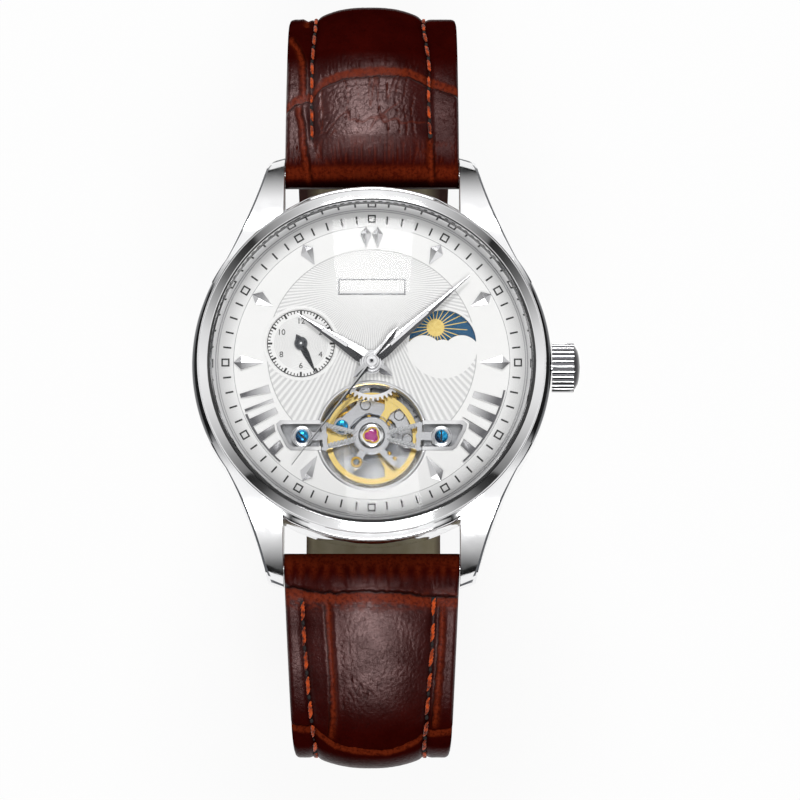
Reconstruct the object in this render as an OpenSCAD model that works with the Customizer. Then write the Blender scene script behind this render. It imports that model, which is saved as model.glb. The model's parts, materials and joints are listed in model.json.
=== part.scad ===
// Automatic skeleton wristwatch on a padded leather strap, with a second
// time zone and a day and night disc. Millimetres, Z up: the dial faces +Z,
// 12 o'clock is +Y and the crown is +X. The case back rests on Z = 0.

/* [Case] */
// Diameter of the case middle, without the crown
case_d = 40.6; // [40.2:0.2:41.6]
// Distance from lug tip to lug tip
lug_span = 49.48; // [49:0.04:50.4]
// Thickness of the sapphire over the dial
crystal_t = 1.4; // [1.2:0.1:1.8]
// Diameter of the winding crown
crown_d = 5.6; // [5:0.2:6]
// Length of the fluted barrel of the crown
crown_l = 2.5; // [2.2:0.1:3]
// Number of flutes round the crown
crown_flutes = 28; // [20:1:32]
// Diameter of the glass in the case back
back_glass_d = 29; // [26:0.5:30]

/* [Strap] */
// Width between the lugs
lug_gap = 20; // [19:0.25:20.5]
// Width of the strap at the buckle
strap_end_w = 16; // [15:0.5:17]
// Height of the padding above the strap's edges at the lugs
pad_rise = 1.4; // [1:0.1:1.8]
// Width of the two keepers, along the strap
keeper_w = 4.5; // [3.5:0.5:5.5]
// Spacing of the strap's holes
hole_pitch = 6.2; // [5.8:0.1:6.6]
// Diameter of the strap's holes
hole_d = 2; // [1.6:0.1:2.4]

/* [Hands] */
// Length of the hour hand from the centre
hour_l = 10.1; // [9.2:0.1:10.8]
// Length of the minute hand from the centre
minute_l = 14.8; // [13.6:0.1:15.4]
// Length of the second hand from the centre
second_l = 14.9; // [13.8:0.1:15.4]
// Length of the small hand of the second time zone
zone_l = 3.3; // [2.8:0.1:3.5]

/* [Dial] */
// Radius of the opening over the balance
heart_r = 5.95; // [5.7:0.05:6]
// Height of the raised indexes and numerals
index_h = 0.2; // [0.12:0.02:0.24]
// Radius of the day and night window
window_r = 3.8; // [3.4:0.1:3.9]

/* [Fits] */
// Radial clearance of a shaft that turns in a hole
run_fit = 0.02; // [0.015:0.005:0.04]
// Clearance round the strap where it slides
strap_fit = 0.35; // [0.3:0.05:0.5]

/* [Hidden] */
e = 0.01;
case_r = case_d / 2;
// the case wall and everything that seats in it, inwards of its outside
bore_r = case_r - 3;
dial_r = case_r - 2.4;
glass_r = case_r - 2.1;
bezel_in = case_r - 1.85;
back_r = case_r - 1.65;
plate_r = case_r - 4.1;
bridge_r = case_r - 4.9;
screw_r = plate_r - 2.22;
// heights of the layers
z_flange = 0.8;
z_ratchet = 3.95;
z_bridge = 4.4;
z_train = 5.2;
z_plate = 6.9;
z_motion = 8.4;
z_ledge = 9.4;
z_dial = 9.8;
z_glass = 11.4;
z_stem = 6.2;
crown_x = case_r + 0.1;
// places of the arbors in plan
balance_p = [0, -8.33];
barrel_p = [4.2, 4.7];
third_p = [-4.8, -1.73];
fourth_p = [-0.7315, -4.412];
escape_p = [3.1, -5.6];
pallet_p = [4.0, -8.3];
crown_wheel_p = [9.6, 0];
zone_p = [-8, 2.2];
window_p = [8, 2.24];
zone_idler_p = [6.12 * cos(182), 6.12 * sin(182)];
disc_idler_p = [6.63 * cos(-8.9), 6.63 * sin(-8.9)];
minute_wheel_p = [5.1 * cos(95), 5.1 * sin(95)];
click_p = [9.3, 7.2];
bridge_screw_p = [[-7.85, -8.4], [7.85, -8.4]];
plate_screw_p = [for (a = [153, 88, 40.4, 201.8, 251.2, 326.8]) screw_r * [cos(a), sin(a)]];
lug_z = 4.4;
lug_y = 22.7;
lug_tip_y = lug_span / 2;
// the strap's line seen from the side, from the lug to the lowest point
arc_r = [44, 8.5, 20];
arc_h = [-5, -25, -95, -155, -180];
function arc_step(r, a, b) = [r * (sin(a) - sin(b)), r * (cos(b) - cos(a))];
turn_p0 = [lug_y, lug_z];
turn_p1 = turn_p0 + arc_step(arc_r[0], arc_h[0], arc_h[1]);
turn_p2 = turn_p1 + arc_step(arc_r[1], arc_h[1], arc_h[2]);
turn_p3 = turn_p2 + arc_step(arc_r[2], arc_h[2], arc_h[3]);
// the last arc closes the loop under the middle of the case
low_r = turn_p3[0] / sin(180 + arc_h[3]);
turn_p = [turn_p0, turn_p1, turn_p2, turn_p3];
turn_r = [arc_r[0], arc_r[1], arc_r[2], low_r];
turn_l = [for (i = [0:3]) turn_r[i] * (arc_h[i] - arc_h[i + 1]) * PI / 180];
turn_s = [0, turn_l[0], turn_l[0] + turn_l[1], turn_l[0] + turn_l[1] + turn_l[2]];
half_l = turn_s[3] + turn_l[3];
function turn_at(s) = s < turn_s[1] ? 0 : s < turn_s[2] ? 1 : s < turn_s[3] ? 2 : 3;
function head(s) = s <= 0 ? arc_h[0]
  : let (i = turn_at(s)) arc_h[i] - (s - turn_s[i]) / turn_r[i] * 180 / PI;
function half_p(s) = s <= 0 ? turn_p0 + s * [cos(arc_h[0]), sin(arc_h[0])]
  : let (i = turn_at(s)) turn_p[i] + arc_step(turn_r[i], arc_h[i], head(s));
// point at length s along the strap, n outwards from its line
function on_half(s, n) = [half_p(s)[0] - n * sin(head(s)), half_p(s)[1] + n * cos(head(s))];
function on_strap(s, n) = s <= half_l ? on_half(s, n)
  : [-on_half(2 * half_l - s, n)[0], on_half(2 * half_l - s, n)[1]];
function ease(t) = let (u = max(0, min(1, t))) u * u * (3 - 2 * u);
hinge_s = half_l - 4;
short_l = hinge_s + 1.5;
long_l = half_l + 36.6;
lift_n = 2.7;
// lowest line of the closed strap, on the outer bar of the buckle
z_low = half_p(half_l)[1] - lift_n - 1.5;
outer_bar_y = -8;
outer_bar_r = 1.2;
// the upper half keeps its width, the lower half narrows soon after the lug
taper_top = [75, 1.8];
taper_low = [45, 1];
function taper(s, t) = lug_gap - 0.1 - (lug_gap - 0.1 - strap_end_w) * pow(min(1, max(0, s) / t[0]), t[1]);
// half thickness of the fold round the spring bar
fold_r = 1.65;
function fold_n(s) = sqrt(fold_r * fold_r - s * s);
// inner face of the leather, its edge and its crown, outwards of the line
function skin_in(s) = s < 0 ? -fold_n(s) : -fold_r + 0.85 * ease(s / 2) + 0.3 * ease((s - 3) / 12);
function skin_edge(s) = s < 0 ? fold_n(s) : fold_r - 0.35 * ease(s / 3) - 0.3 * ease((s - 3) / 20);
function skin_top(s) = skin_edge(s) + pad_rise * ease((s - 0.2) / 1.8) * (1 - ease((s - 22) / 16)) + 0.05
  + 0.05 * ease(s);
function tail_shift(s) = lift_n * ease((s - half_l + 6.5) / 9);

module at(p, z = 0) translate([p[0], p[1], z]) children();
module ring(ro, ri, z0, z1, fn = 96) difference() {
  translate([0, 0, z0]) cylinder(r = ro, h = z1 - z0, $fn = fn);
  translate([0, 0, z0 - 1]) cylinder(r = ri, h = z1 - z0 + 2, $fn = fn);
}
module disc(r, z0, z1, fn = 48) translate([0, 0, z0]) cylinder(r = r, h = z1 - z0, $fn = fn);
module along_x(r, x0, x1, fn = 48) translate([x0, 0, 0]) rotate([0, 90, 0]) cylinder(r = r, h = x1 - x0, $fn = fn);
module bar2(p, q, w) {
  d = q - p;
  translate(p) rotate(atan2(d[1], d[0])) translate([0, -w / 2]) square([norm(d), w]);
  translate(p) circle(d = w, $fn = 32);
  translate(q) circle(d = w, $fn = 32);
}
// toothed wheel outline: z teeth of module m, turned by a degrees
function tooth(i, z, m, a, ro, ri) = let (c = a + i * 360 / z, w = 360 / z) [
  [ri * cos(c - 0.34 * w), ri * sin(c - 0.34 * w)],
  [ro * cos(c - 0.13 * w), ro * sin(c - 0.13 * w)],
  [ro * cos(c + 0.13 * w), ro * sin(c + 0.13 * w)],
  [ri * cos(c + 0.34 * w), ri * sin(c + 0.34 * w)]];
module gear2(z, m, a = 0) polygon([for (i = [0:z - 1])
  for (p = tooth(i, z, m, a, (z / 2 + 0.9) * m, (z / 2 - 1.2) * m)) p]);
module gear(z, m, z0, z1, a = 0, bore = 0) translate([0, 0, z0]) linear_extrude(z1 - z0) difference() {
  gear2(z, m, a);
  if (bore > 0) circle(r = bore, $fn = 48);
}
// wheel with spokes: rim, hub and n straight spokes
module spoked(z, m, z0, z1, a, n, hub, bore) {
  rim = (z / 2 - 1.2) * m - 0.32;
  translate([0, 0, z0]) linear_extrude(z1 - z0) difference() {
    union() {
      difference() {
        gear2(z, m, a);
        circle(r = rim, $fn = 96);
      }
      circle(r = hub, $fn = 48);
      for (k = [0:n - 1]) rotate(k * 360 / n + 20) translate([0, -0.16]) square([rim + 0.1, 0.32]);
    }
    if (bore > 0) circle(r = bore, $fn = 48);
  }
}
// tooth angle of a driven wheel so that its teeth sit in the driver's gaps
function meshed(a1, z1, z2, dir) = dir + 180 + (dir - a1) * z1 / z2 - 180 / z2;
function dir_of(p, q) = atan2(q[1] - p[1], q[0] - p[0]);
module pivot(z0, z1, r = 0.12) disc(r, z0, z1, 32);
jewel_r = 0.55;
pivot_r = 0.12;

// ---- case ----
nose_r = 0.9;
nose_p = [lug_tip_y - nose_r, 4.47];
module lug() {
  // concave outer flank, curved top, round nose
  difference() {
    intersection() {
      translate([lug_gap / 2, case_r - 9.3, -2]) cube([9, lug_tip_y - case_r + 9.3, 11.1]);
      translate([0, lug_tip_y - 17.04, -16.05]) along_x(27, lug_gap / 2 - 5, 25, 256);
    }
    rotate([90, 0, 90]) linear_extrude(24)
      polygon([[0, -5], [30, -5], [30, 1.6], [lug_tip_y, 1.5], [16.5, 0.9], [0, 0.9]]);
    rotate([90, 0, 90]) linear_extrude(24) polygon(concat(
      [[nose_p[0] + 0.15, -5], [lug_tip_y + 5, -5], [lug_tip_y + 5, 10], [nose_p[0] + nose_r * cos(50), 10]],
      [for (t = [50, 38, 26, 14, 2, -10]) nose_p + nose_r * [cos(t), sin(t)]]));
    translate([(case_r + 49.87) * cos(30.5), (case_r + 49.87) * sin(30.5), -5]) cylinder(r = 50, h = 20, $fn = 360);
    translate([lug_gap / 2, lug_tip_y, -5]) rotate(-19) cube([6, 4, 20]);
    translate([0, lug_y, lug_z]) along_x(0.45 + run_fit, 8, lug_gap / 2 + 1.2, 32);
  }
}
module case_body() rotate_extrude($fn = 180) polygon([
  [bore_r, z_flange], [back_r, z_flange], [case_r - 0.6, z_flange + 0.6], [case_r, 3.2],
  [case_r, z_dial - 0.6], [case_r - 0.6, z_dial], [dial_r + 0.1, z_dial], [dial_r + 0.1, z_ledge], [bore_r, z_ledge]]);
module mid_case() color("#c9cbce") difference() {
  union() {
    case_body();
    for (x = [0, 1], y = [0, 1]) mirror([x, 0, 0]) mirror([0, y, 0]) difference() {
      lug();
      disc(bore_r + 1.2, -3, 14, 180);
    }
  }
  translate([0, 0, z_stem]) along_x(1.3, bore_r - 1.3, case_r + 4);
}
module bezel() color("#d5d7da") rotate_extrude($fn = 180) polygon([
  [bezel_in, z_dial], [case_r - 0.63, z_dial], [case_r - 0.63, 11.3], [bezel_in + 0.15, 11.95], [bezel_in, 11.9]]);
module crystal() color([0.8, 0.85, 0.9, 0.3]) rotate_extrude($fn = 180) polygon([
  [0, z_glass], [glass_r, z_glass], [glass_r, z_glass + crystal_t - 0.35],
  [glass_r - 0.3, z_glass + crystal_t - 0.1], [0, z_glass + crystal_t]]);
module case_gaskets() color("#2a2a2c") {
  ring(bezel_in, glass_r, z_glass, 11.9, 180);
  ring(back_r - 0.35, back_r - 0.75, z_flange - 0.25, z_flange, 180);
}
module rehaut_ring() color("#c3c5c8") rotate_extrude($fn = 180) polygon([
  [case_r - 2.8, z_dial], [bezel_in, z_dial], [bezel_in, z_glass], [case_r - 2.35, z_glass]]);
back_in = back_glass_d / 2;
module case_back() color("#c9cbce") difference() {
  rotate_extrude($fn = 180) polygon([
    [back_in, 0], [back_r - 0.45, 0], [back_r, 0.4], [back_r, z_flange], [back_r - 0.35, z_flange],
    [back_r - 0.35, z_flange - 0.25], [back_r - 0.75, z_flange - 0.25], [back_r - 0.75, z_flange], [bore_r - 0.02, z_flange],
    [bore_r - 0.02, 1.9], [bore_r - 0.7, 1.9], [bore_r - 0.7, 1.5], [back_in, 1.5], [back_in, 1.2],
    [back_in - 0.5, 1.2], [back_in - 0.5, 1.1], [back_in, 1.1]]);
  for (k = [0:5]) rotate(k * 60 + 30) translate([back_r - 1.65, -0.7, -1]) cube([2.4, 1.4, 1.45]);
}
module case_back_glass() color([0.8, 0.85, 0.9, 0.3]) disc(back_in, 0, 1.1, 180);
stem_r = 0.6;
module crown_tube() color("#b9bbbe") translate([0, 0, z_stem]) difference() {
  along_x(1.3, bore_r, case_r);
  along_x(0.9, bore_r - 1, case_r + 1);
}
module crown_gasket() color("#262628") translate([0, 0, z_stem]) difference() {
  along_x(0.9 - run_fit, case_r - 1.7, case_r - 1);
  along_x(stem_r + run_fit, case_r - 3, case_r);
}
module crown() color("#c6c8cb") translate([crown_x, 0, z_stem]) rotate([0, 90, 0]) difference() {
  union() {
    linear_extrude(crown_l) difference() {
      circle(d = crown_d, $fn = 96);
      for (k = [0:crown_flutes - 1]) rotate(k * 360 / crown_flutes)
        translate([crown_d / 2 + 0.12, 0]) circle(r = 0.28, $fn = 24);
    }
    translate([0, 0, crown_l]) rotate_extrude($fn = 96) polygon([[0, 0], [crown_d / 2 - 0.25, 0],
      [crown_d / 2 - 0.4, 0.15], [crown_d / 2 - 0.9, 0.45], [crown_d / 2 - 1.6, 0.62], [0, 0.72]]);
  }
  translate([0, 0, -1]) cylinder(r = stem_r, h = 2.5, $fn = 48);
}
module winding_stem() color("#a9abae") translate([0, 0, z_stem]) along_x(stem_r, plate_r - 5.6, crown_x + 1.5);

// ---- dial and hands ----
module window2(r) intersection() {
  circle(r = r, $fn = 96);
  difference() {
    translate([-5, -4.2]) square([10, 9]);
    translate([-2.15, -1.2]) circle(r = 2.1, $fn = 64);
    translate([2.15, -1.2]) circle(r = 2.1, $fn = 64);
    translate([0, -0.95]) circle(r = 1.35, $fn = 48);
    translate([-5, -5.5]) square([10, 5]);
  }
}
module wing2() for (s = [-1, 1]) difference() {
  polygon([[s * 4, -6.6], [s * 10.3, -6.6], [s * 10.75, -7.0], [s * 10.6, -7.7], [s * 9.6, -9.6],
    [s * 9.1, -10], [s * 4, -10]]);
}
module dial() color("#e9e9e6") difference() {
  disc(dial_r, z_ledge, z_dial, 180);
  disc(1.1, 0, 20);
  at(zone_p) { disc(0.45, 0, 20); disc(3.9, z_dial - 0.15, 20, 96); }
  at(window_p, z_ledge - 1) linear_extrude(3) window2(window_r);
  translate([0, 0, z_ledge - 1]) linear_extrude(3) union() {
    translate(balance_p) circle(r = heart_r, $fn = 120);
    wing2();
  }
}
// faceted kite index: inner and outer radius, half width
module kite2(r0, r1, w) polygon([[r0, 0], [r1 - 0.62, w], [r1, 0], [r1 - 0.62, -w]]);
module hour_markers() color("#d0d2d6") translate([0, 0, z_dial]) linear_extrude(index_h) {
  for (a = [0, 180]) rotate(a) kite2(12.3, 15.5, 0.69);
  for (a = [30, 60, 120, 150]) rotate(a) kite2(13.2, 15.5, 0.69);
  for (a = [240, 300]) rotate(a) kite2(12.3, 15.5, 0.69);
  for (x = [-0.665, 0.665]) translate([x, 0]) rotate(90) kite2(13.14, 15.54, 0.63);
}
module numeral_bar(a, r0, r1, w0, w1) rotate(a) polygon([[r0, -w0 / 2], [r1, -w1 / 2], [r1, w1 / 2], [r0, w0 / 2]]);
module arc2(r0, r1, a0, a1) difference() {
  polygon(concat([[0, 0]], [for (k = [0:8]) let (a = a0 + (a1 - a0) * k / 8) 20 * [cos(a), sin(a)]]));
  circle(r = r0, $fn = 180);
  difference() { circle(r = 40, $fn = 60); circle(r = r1, $fn = 180); }
}
module roman_numerals() color("#c4c6ca") translate([0, 0, z_dial]) linear_extrude(index_h * 0.75) {
  for (a = [-17.5, -25.1, -33, -41.8]) numeral_bar(a, 12.0, 15.3, 0.7, 1.0);
  arc2(15.2, 15.45, -47.8, -12);
  rotate(196.2) numeral_bar(-1.6, 11.9, 15.3, 0.95, 0.5);
  rotate(199.2) numeral_bar(2.0, 11.9, 15.3, 0.4, 0.35);
  for (a = [207, 214.5, 222.4]) numeral_bar(a, 12.0, 15.3, 0.7, 1.0);
  arc2(15.2, 15.45, 202.7, 227.8);
}
module dial_trim() color("#dfe0e2") {
  // blank framed plate under 12 o'clock
  translate([-3.84, 7.78, z_dial]) difference() {
    cube([7.7, 1.84, 0.16]);
    translate([0.25, 0.25, 0.1]) cube([7.2, 1.34, 1]);
  }
  // rim of the opening over the balance
  at(balance_p, z_dial) difference() {
    ring(heart_r + 0.4, heart_r, 0, 0.12, 120);
    for (s = [-1, 1]) translate([s * 7.2, 0.05, 0]) cube([4.2, 3.4, 2], center = true);
  }
}
// tapered hand with a tail, lying along +Y before it is turned
module hand2(l, tail, w, tw, at_w) polygon([[0, l], [w / 2, l * at_w], [0.35, 0], [tw / 2, -tail * 0.7],
  [0, -tail], [-tw / 2, -tail * 0.7], [-0.35, 0], [-w / 2, l * at_w]]);
module hand(a, z0, t, l, tail, w, tw, at_w, hub, hole) translate([0, 0, z0]) rotate(-a) difference() {
  union() {
    linear_extrude(t) hand2(l, tail, w, tw, at_w);
    disc(hub, 0, t, 64);
  }
  disc(hole, -1, 2);
}
pipe_r = 0.8;
cannon_r = 0.6;
arbor_r = 0.22;
module hour_hand() color("#bfc1c5") hand(303.4, 10.1, 0.25, hour_l, 2.8, 1.7, 1.0, 0.16, 1.35, pipe_r);
module minute_hand() color("#bfc1c5") hand(48.4, 10.5, 0.25, minute_l, 2.8, 1.5, 1.0, 0.12, 1.05, cannon_r);
module second_hand() color("#bfc1c5") { second_blade(); second_pinion(); }
module second_blade() hand(217.2, 10.9, 0.2, second_l, 4.9, 0.5, 0.95, 0.1, 0.75, arbor_r);
tz_z = z_motion + 0.1;
minute_a = meshed(0, 12, 36, 95);
pinion_a = 0;
hour_a = meshed(minute_a, 12, 48, dir_of(minute_wheel_p, [0, 0]));
zone_idler_a = meshed(hour_a, 48, 24, 182);
zone_a = meshed(zone_idler_a, 12, 24, dir_of(zone_idler_p, zone_p));
disc_idler_a = meshed(hour_a, 48, 30, -8.9);
disc_a = meshed(disc_idler_a, 10, 32, dir_of(disc_idler_p, window_p));
module zone_hand() color("#3a3c40") at(zone_p) {
  gear(24, 0.17, tz_z, tz_z + 0.2, zone_a);
  disc(0.35, z_motion - 0.6, 9.9);
  translate([0, 0, 9.72]) rotate(-153.4) linear_extrude(0.14) {
    polygon([[0, zone_l], [0.42, 1.3], [0.2, 0], [0.3, -0.8], [0, -1.17], [-0.3, -0.8], [-0.2, 0], [-0.42, 1.3]]);
    circle(r = 0.7, $fn = 48);
  }
}
post_r = 0.35;
module day_night_disc() color("#0d4a6e") at(window_p) difference() {
  union() {
    gear(32, 0.17, tz_z, tz_z + 0.2, disc_a);
    disc(0.9, tz_z + 0.2, 9.1);
    disc(4.35, 9.1, 9.3, 120);
  }
  disc(post_r + run_fit, z_motion - 1, 9.2);
}
module cannon_pinion() color("#b8babd") difference() {
  union() {
    gear(12, 0.2125, z_motion + 0.08, z_motion + 0.3, 0);
    disc(cannon_r, z_motion + 0.08, 10.75);
  }
  disc(0.42 + run_fit, 0, 20);
}
module minute_wheel() color("#c8a45c") at(minute_wheel_p) difference() {
  union() {
    gear(36, 0.2125, z_motion + 0.1, z_motion + 0.25, minute_a);
    gear(12, 0.17, z_motion + 0.25, z_motion + 0.63, minute_a);
  }
  disc(post_r + run_fit, 0, 20);
}
z_hour = z_motion + 0.45;
module hour_wheel() color("#b0b3b8") difference() {
  union() {
    spoked(48, 0.17, z_hour, z_hour + 0.15, hour_a, 5, 1.3, 0);
    disc(pipe_r, z_hour, 10.35);
  }
  disc(cannon_r + run_fit, 0, 20);
}
module zone_idler() color("#c8a45c") at(zone_idler_p) difference() {
  union() {
    gear(24, 0.17, z_hour, z_hour + 0.15, zone_idler_a);
    gear(12, 0.17, tz_z, z_hour, zone_idler_a);
  }
  disc(post_r + run_fit, 0, 20);
}
module day_night_idler() color("#c8a45c") at(disc_idler_p) difference() {
  union() {
    gear(30, 0.17, z_hour, z_hour + 0.15, disc_idler_a);
    gear(10, 0.17, tz_z, z_hour, disc_idler_a);
  }
  disc(post_r + run_fit, 0, 20);
}

// ---- movement: plates and bridges ----
module movement_holder() color("#c6a65a") difference() {
  union() {
    ring(bore_r, plate_r, z_bridge, z_motion, 180);
    ring(plate_r, bridge_r, z_plate - 0.4, z_plate, 180);
  }
  translate([0, 0, z_stem]) along_x(1.0, plate_r - 4.2, bore_r + 2.7);
}
module main_plate() color("#c2c4c7") {
  difference() {
    disc(plate_r, z_plate, z_motion, 180);
    at(balance_p) disc(5.9, 0, 20, 120);
    disc(0.42 + run_fit, 0, 20);
    at(third_p) disc(jewel_r, 0, z_plate + 0.5);
    at(barrel_p) disc(0.6 + run_fit, 0, z_plate + 0.6);
    at(zone_p) disc(0.35 + run_fit, 0, 20);
    translate([plate_r - 4.2, -1.95, 0]) cube([2, 3.9, 8.1]);
    for (p = bridge_screw_p) at(p) disc(0.35, 0, 20);
    for (p = plate_screw_p) at(p) disc(0.4, 0, z_plate + 0.8);
  }
  for (p = [minute_wheel_p, zone_idler_p, disc_idler_p]) at(p) disc(post_r, z_motion, z_hour + 0.15);
  at(window_p) disc(post_r, z_motion, 9.05);
  for (p = bridge_screw_p) at(p) ring(1.2, 0.35, z_motion, 9.1);
}
split = [[-20, 1.2], [5.2, 1.2], [6.4, -4.0], [20, -4.0]];
module pillars(list) for (p = list) at(p) ring(1.3, 0.4, z_train, z_plate);
module barrel_bridge() color("#bdbfc2") {
  difference() {
    translate([0, 0, z_bridge]) linear_extrude(z_train - z_bridge) difference() {
      intersection() {
        circle(r = bridge_r, $fn = 180);
        polygon(concat(split, [[20, 20], [-20, 20]]));
      }
      translate(barrel_p) circle(r = 0.6 + run_fit, $fn = 48);
      translate(crown_wheel_p) circle(r = post_r, $fn = 48);
      translate([plate_r - 4.2, -1.95]) square([2, 3.9]);
      for (k = [0:2]) translate(plate_screw_p[k]) circle(r = 0.4, $fn = 48);
    }
  }
  pillars([plate_screw_p[0], plate_screw_p[1], plate_screw_p[2]]);
  at(crown_wheel_p) { disc(post_r, z_ratchet - 0.15, z_train); disc(0.9, z_ratchet - 0.3, z_ratchet - 0.1); }
  at(click_p) disc(post_r, z_ratchet - 0.1, z_bridge);
}
module train_bridge() color("#bdbfc2") {
  translate([0, 0, z_bridge]) linear_extrude(z_train - z_bridge) difference() {
    intersection() {
      circle(r = bridge_r, $fn = 180);
      translate([0, -0.15]) polygon(concat(split, [[20, -20], [-20, -20]]));
    }
    for (p = [third_p, fourth_p, escape_p, pallet_p, balance_p, [0, 0]]) translate(p) circle(r = jewel_r, $fn = 48);
    for (k = [3:5]) translate(plate_screw_p[k]) circle(r = 0.4, $fn = 48);
  }
  pillars([plate_screw_p[3], plate_screw_p[4], plate_screw_p[5]]);
  // post that the rotor turns on, with its retaining head
  disc(0.7, 2.2, z_bridge + 0.1);
  disc(1.3, 2.05, 2.4);
}
cock = [[-6.7, -7.4], [-3.4, -6.85], fourth_p, escape_p, pallet_p, [7.0, -8.2]];
module strut(p, q, w, z0, z1) translate([p[0], p[1], z0]) rotate(atan2(q[1] - p[1], q[0] - p[0]))
  translate([0, -w / 2, 0]) cube([norm(q - p), w, z1 - z0]);
module pallet_bridge() color("#b4b6ba") difference() {
  z0 = z_plate - 0.3;
  z1 = z_plate + 0.1;
  union() {
    for (i = [0:4]) strut(cock[i], cock[i + 1], 1.5, z0, z1);
    strut(fourth_p, [-0.9, -1.7], 1.3, z0, z1);
    for (i = [0:5]) at(cock[i]) disc(1.02, z0, z1);
  }
  for (p = [fourth_p, escape_p, pallet_p]) at(p) disc(jewel_r, z0 - 1, z1 + 1);
  difference() {
    at(balance_p) disc(12, z_plate, z_plate + 2, 60);
    at(balance_p) disc(5.8, z_plate - 1, z_plate + 3, 120);
  }
}
module jewel(p, z0, z1, hole = pivot_r) at(p) ring(jewel_r, hole + run_fit, z0, z1, 48);
module jewels() color("#b0124a") {
  for (p = [third_p, fourth_p, escape_p, pallet_p, balance_p]) jewel(p, z_bridge + 0.4, z_train);
  jewel([0, 0], z_bridge + 0.4, z_train);
  jewel(third_p, z_plate, z_plate + 0.5);
  for (p = [fourth_p, escape_p, pallet_p]) jewel(p, z_plate - 0.3, z_plate + 0.1);
  jewel(balance_p, 9.3, 9.75);
}
wing_p = [[5.5, 1.35], [5.5, -1.45]];
module balance_bridge() color("#c6c8cb") at(balance_p, 9.1) {
  linear_extrude(0.5) difference() {
    union() {
      circle(r = 2.1, $fn = 96);
      for (s = [-1, 1]) {
        bar2([s * 1.9, 0.45], [s * 5.45, 1.35], 0.42);
        bar2([s * 1.9, -0.45], [s * 5.45, -1.45], 0.42);
        bar2([s * 5.45, 1.35], [s * 5.2, -1.45], 0.5);
        bar2([s * 5.4, 0], [s * 7.85, -0.07], 0.9);
        translate([s * 7.85, -0.07]) circle(r = 1.2, $fn = 64);
      }
      bar2([-0.8, -1.5], [-1.8, -3.1], 0.8);
      translate([-1.8, -3.1]) circle(r = 0.75, $fn = 48);
    }
    circle(r = jewel_r, $fn = 48);
    for (s = [-1, 1]) translate([s * 7.85, -0.07]) circle(r = 0.76, $fn = 48);
  }
  for (s = [-1, 1]) translate([s * 7.85, -0.07, 0]) ring(1.2, 0.35, 0, 0.2);
  ring(1.5, 1.04, 0.5, 0.72);
  translate([-1.8, -3.1, 0]) { disc(0.62, 0.5, 0.75); disc(0.25, -0.95, 0); }
}
module regulator() color("#c9a24a") at(balance_p) {
  // index that turns round the setting and holds two pins
  translate([0, 0, 9.62]) linear_extrude(0.12) difference() {
    union() {
      circle(r = 2.0, $fn = 96);
      bar2([0.9, -1.5], [2.5, -3.1], 0.7);
    }
    circle(r = 1.5 + run_fit, $fn = 96);
  }
  for (p = [[1.78, -2.35], [2.35, -2.95]]) at(p) disc(0.22, 9.74, 9.9);
}
module slotted(p, z0, z1, r, shaft, zs, a) at(p) {
  difference() {
    disc(r, z0, z1);
    rotate(a) translate([-r - 1, -0.12, z1 - 0.12]) cube([2 * r + 2, 0.24, 1]);
  }
  disc(shaft, zs, z0);
}
module blued_screws() color("#1d3f9a") {
  slotted(bridge_screw_p[0], 9.3, 9.62, 0.74, 0.35, 7.6, 35);
  slotted(bridge_screw_p[1], 9.3, 9.62, 0.74, 0.35, 7.6, 75);
  slotted([-3.4, -6.85], z_plate + 0.1, z_plate + 0.22, 0.7, 0.2, z_plate + 0.09, 20);
}
module plate_screws() color("#9a9ca0") {
  for (p = plate_screw_p) at(p) {
    difference() {
      disc(0.85, z_bridge - 0.35, z_bridge);
      rotate(p[0] * 20) translate([-1, -0.12, z_bridge - 1]) cube([2, 0.24, 0.8]);
    }
    disc(0.4, z_bridge, z_plate + 0.7);
  }
}

// ---- movement: moving pieces ----
barrel_m = 0.14;
module mainspring_barrel() color("#c8a45c") at(barrel_p) difference() {
  union() {
    disc(5.2, z_train + 0.1, 6.25, 96);
    gear(80, barrel_m, 5.95, 6.25, meshed(0, 10, 80, dir_of([0, 0], barrel_p)));
    disc(1.0, 6.25, 6.4);
  }
  disc(4.95, z_train + 0.25, 6.1, 96);
  disc(0.6 + run_fit, 0, 20);
}
function spiral(r0, r1, n, t) = concat(
  [for (i = [0:24 * n]) let (a = i * 15, r = r0 + (r1 - r0) * i / (24 * n)) [r * cos(a), r * sin(a)]],
  [for (i = [24 * n:-1:0]) let (a = i * 15, r = r0 + (r1 - r0) * i / (24 * n) + t) [r * cos(a), r * sin(a)]]);
module mainspring() color("#8d9096") at(barrel_p, z_train + 0.3) linear_extrude(0.55)
  polygon(spiral(0.82, 4.8, 9, 0.1));
module ratchet_wheel() color("#b9bbbf") at(barrel_p) {
  gear(39, 0.20186, z_ratchet, z_ratchet + 0.4, 0);
  disc(0.6, z_ratchet + 0.4, z_plate + 0.5);
  disc(0.8, z_train + 0.3, 6.05);
}
module crown_wheel() color("#b9bbbf") at(crown_wheel_p)
  gear(32, 0.20186, z_ratchet, z_ratchet + 0.4, meshed(0, 39, 32, dir_of(barrel_p, crown_wheel_p)), post_r + run_fit);
module winding_pinion() color("#a8aaad") translate([plate_r - 4, 0, z_stem]) rotate([0, 90, 0])
  gear(16, 0.195, 0, 1.6, 0, stem_r + run_fit);
module click() color("#a8aaad") at(click_p) difference() {
  union() {
    disc(0.8, z_ratchet, z_ratchet + 0.3);
    translate([0, 0, z_ratchet]) linear_extrude(0.3)
      polygon([[0.2, -0.6], [-1.6, 0.05], [-2.2, 0.52], [-2.43, 0.72], [-2.2, 0.95], [0, 0.75]]);
  }
  disc(post_r + run_fit, 0, 20);
}
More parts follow.
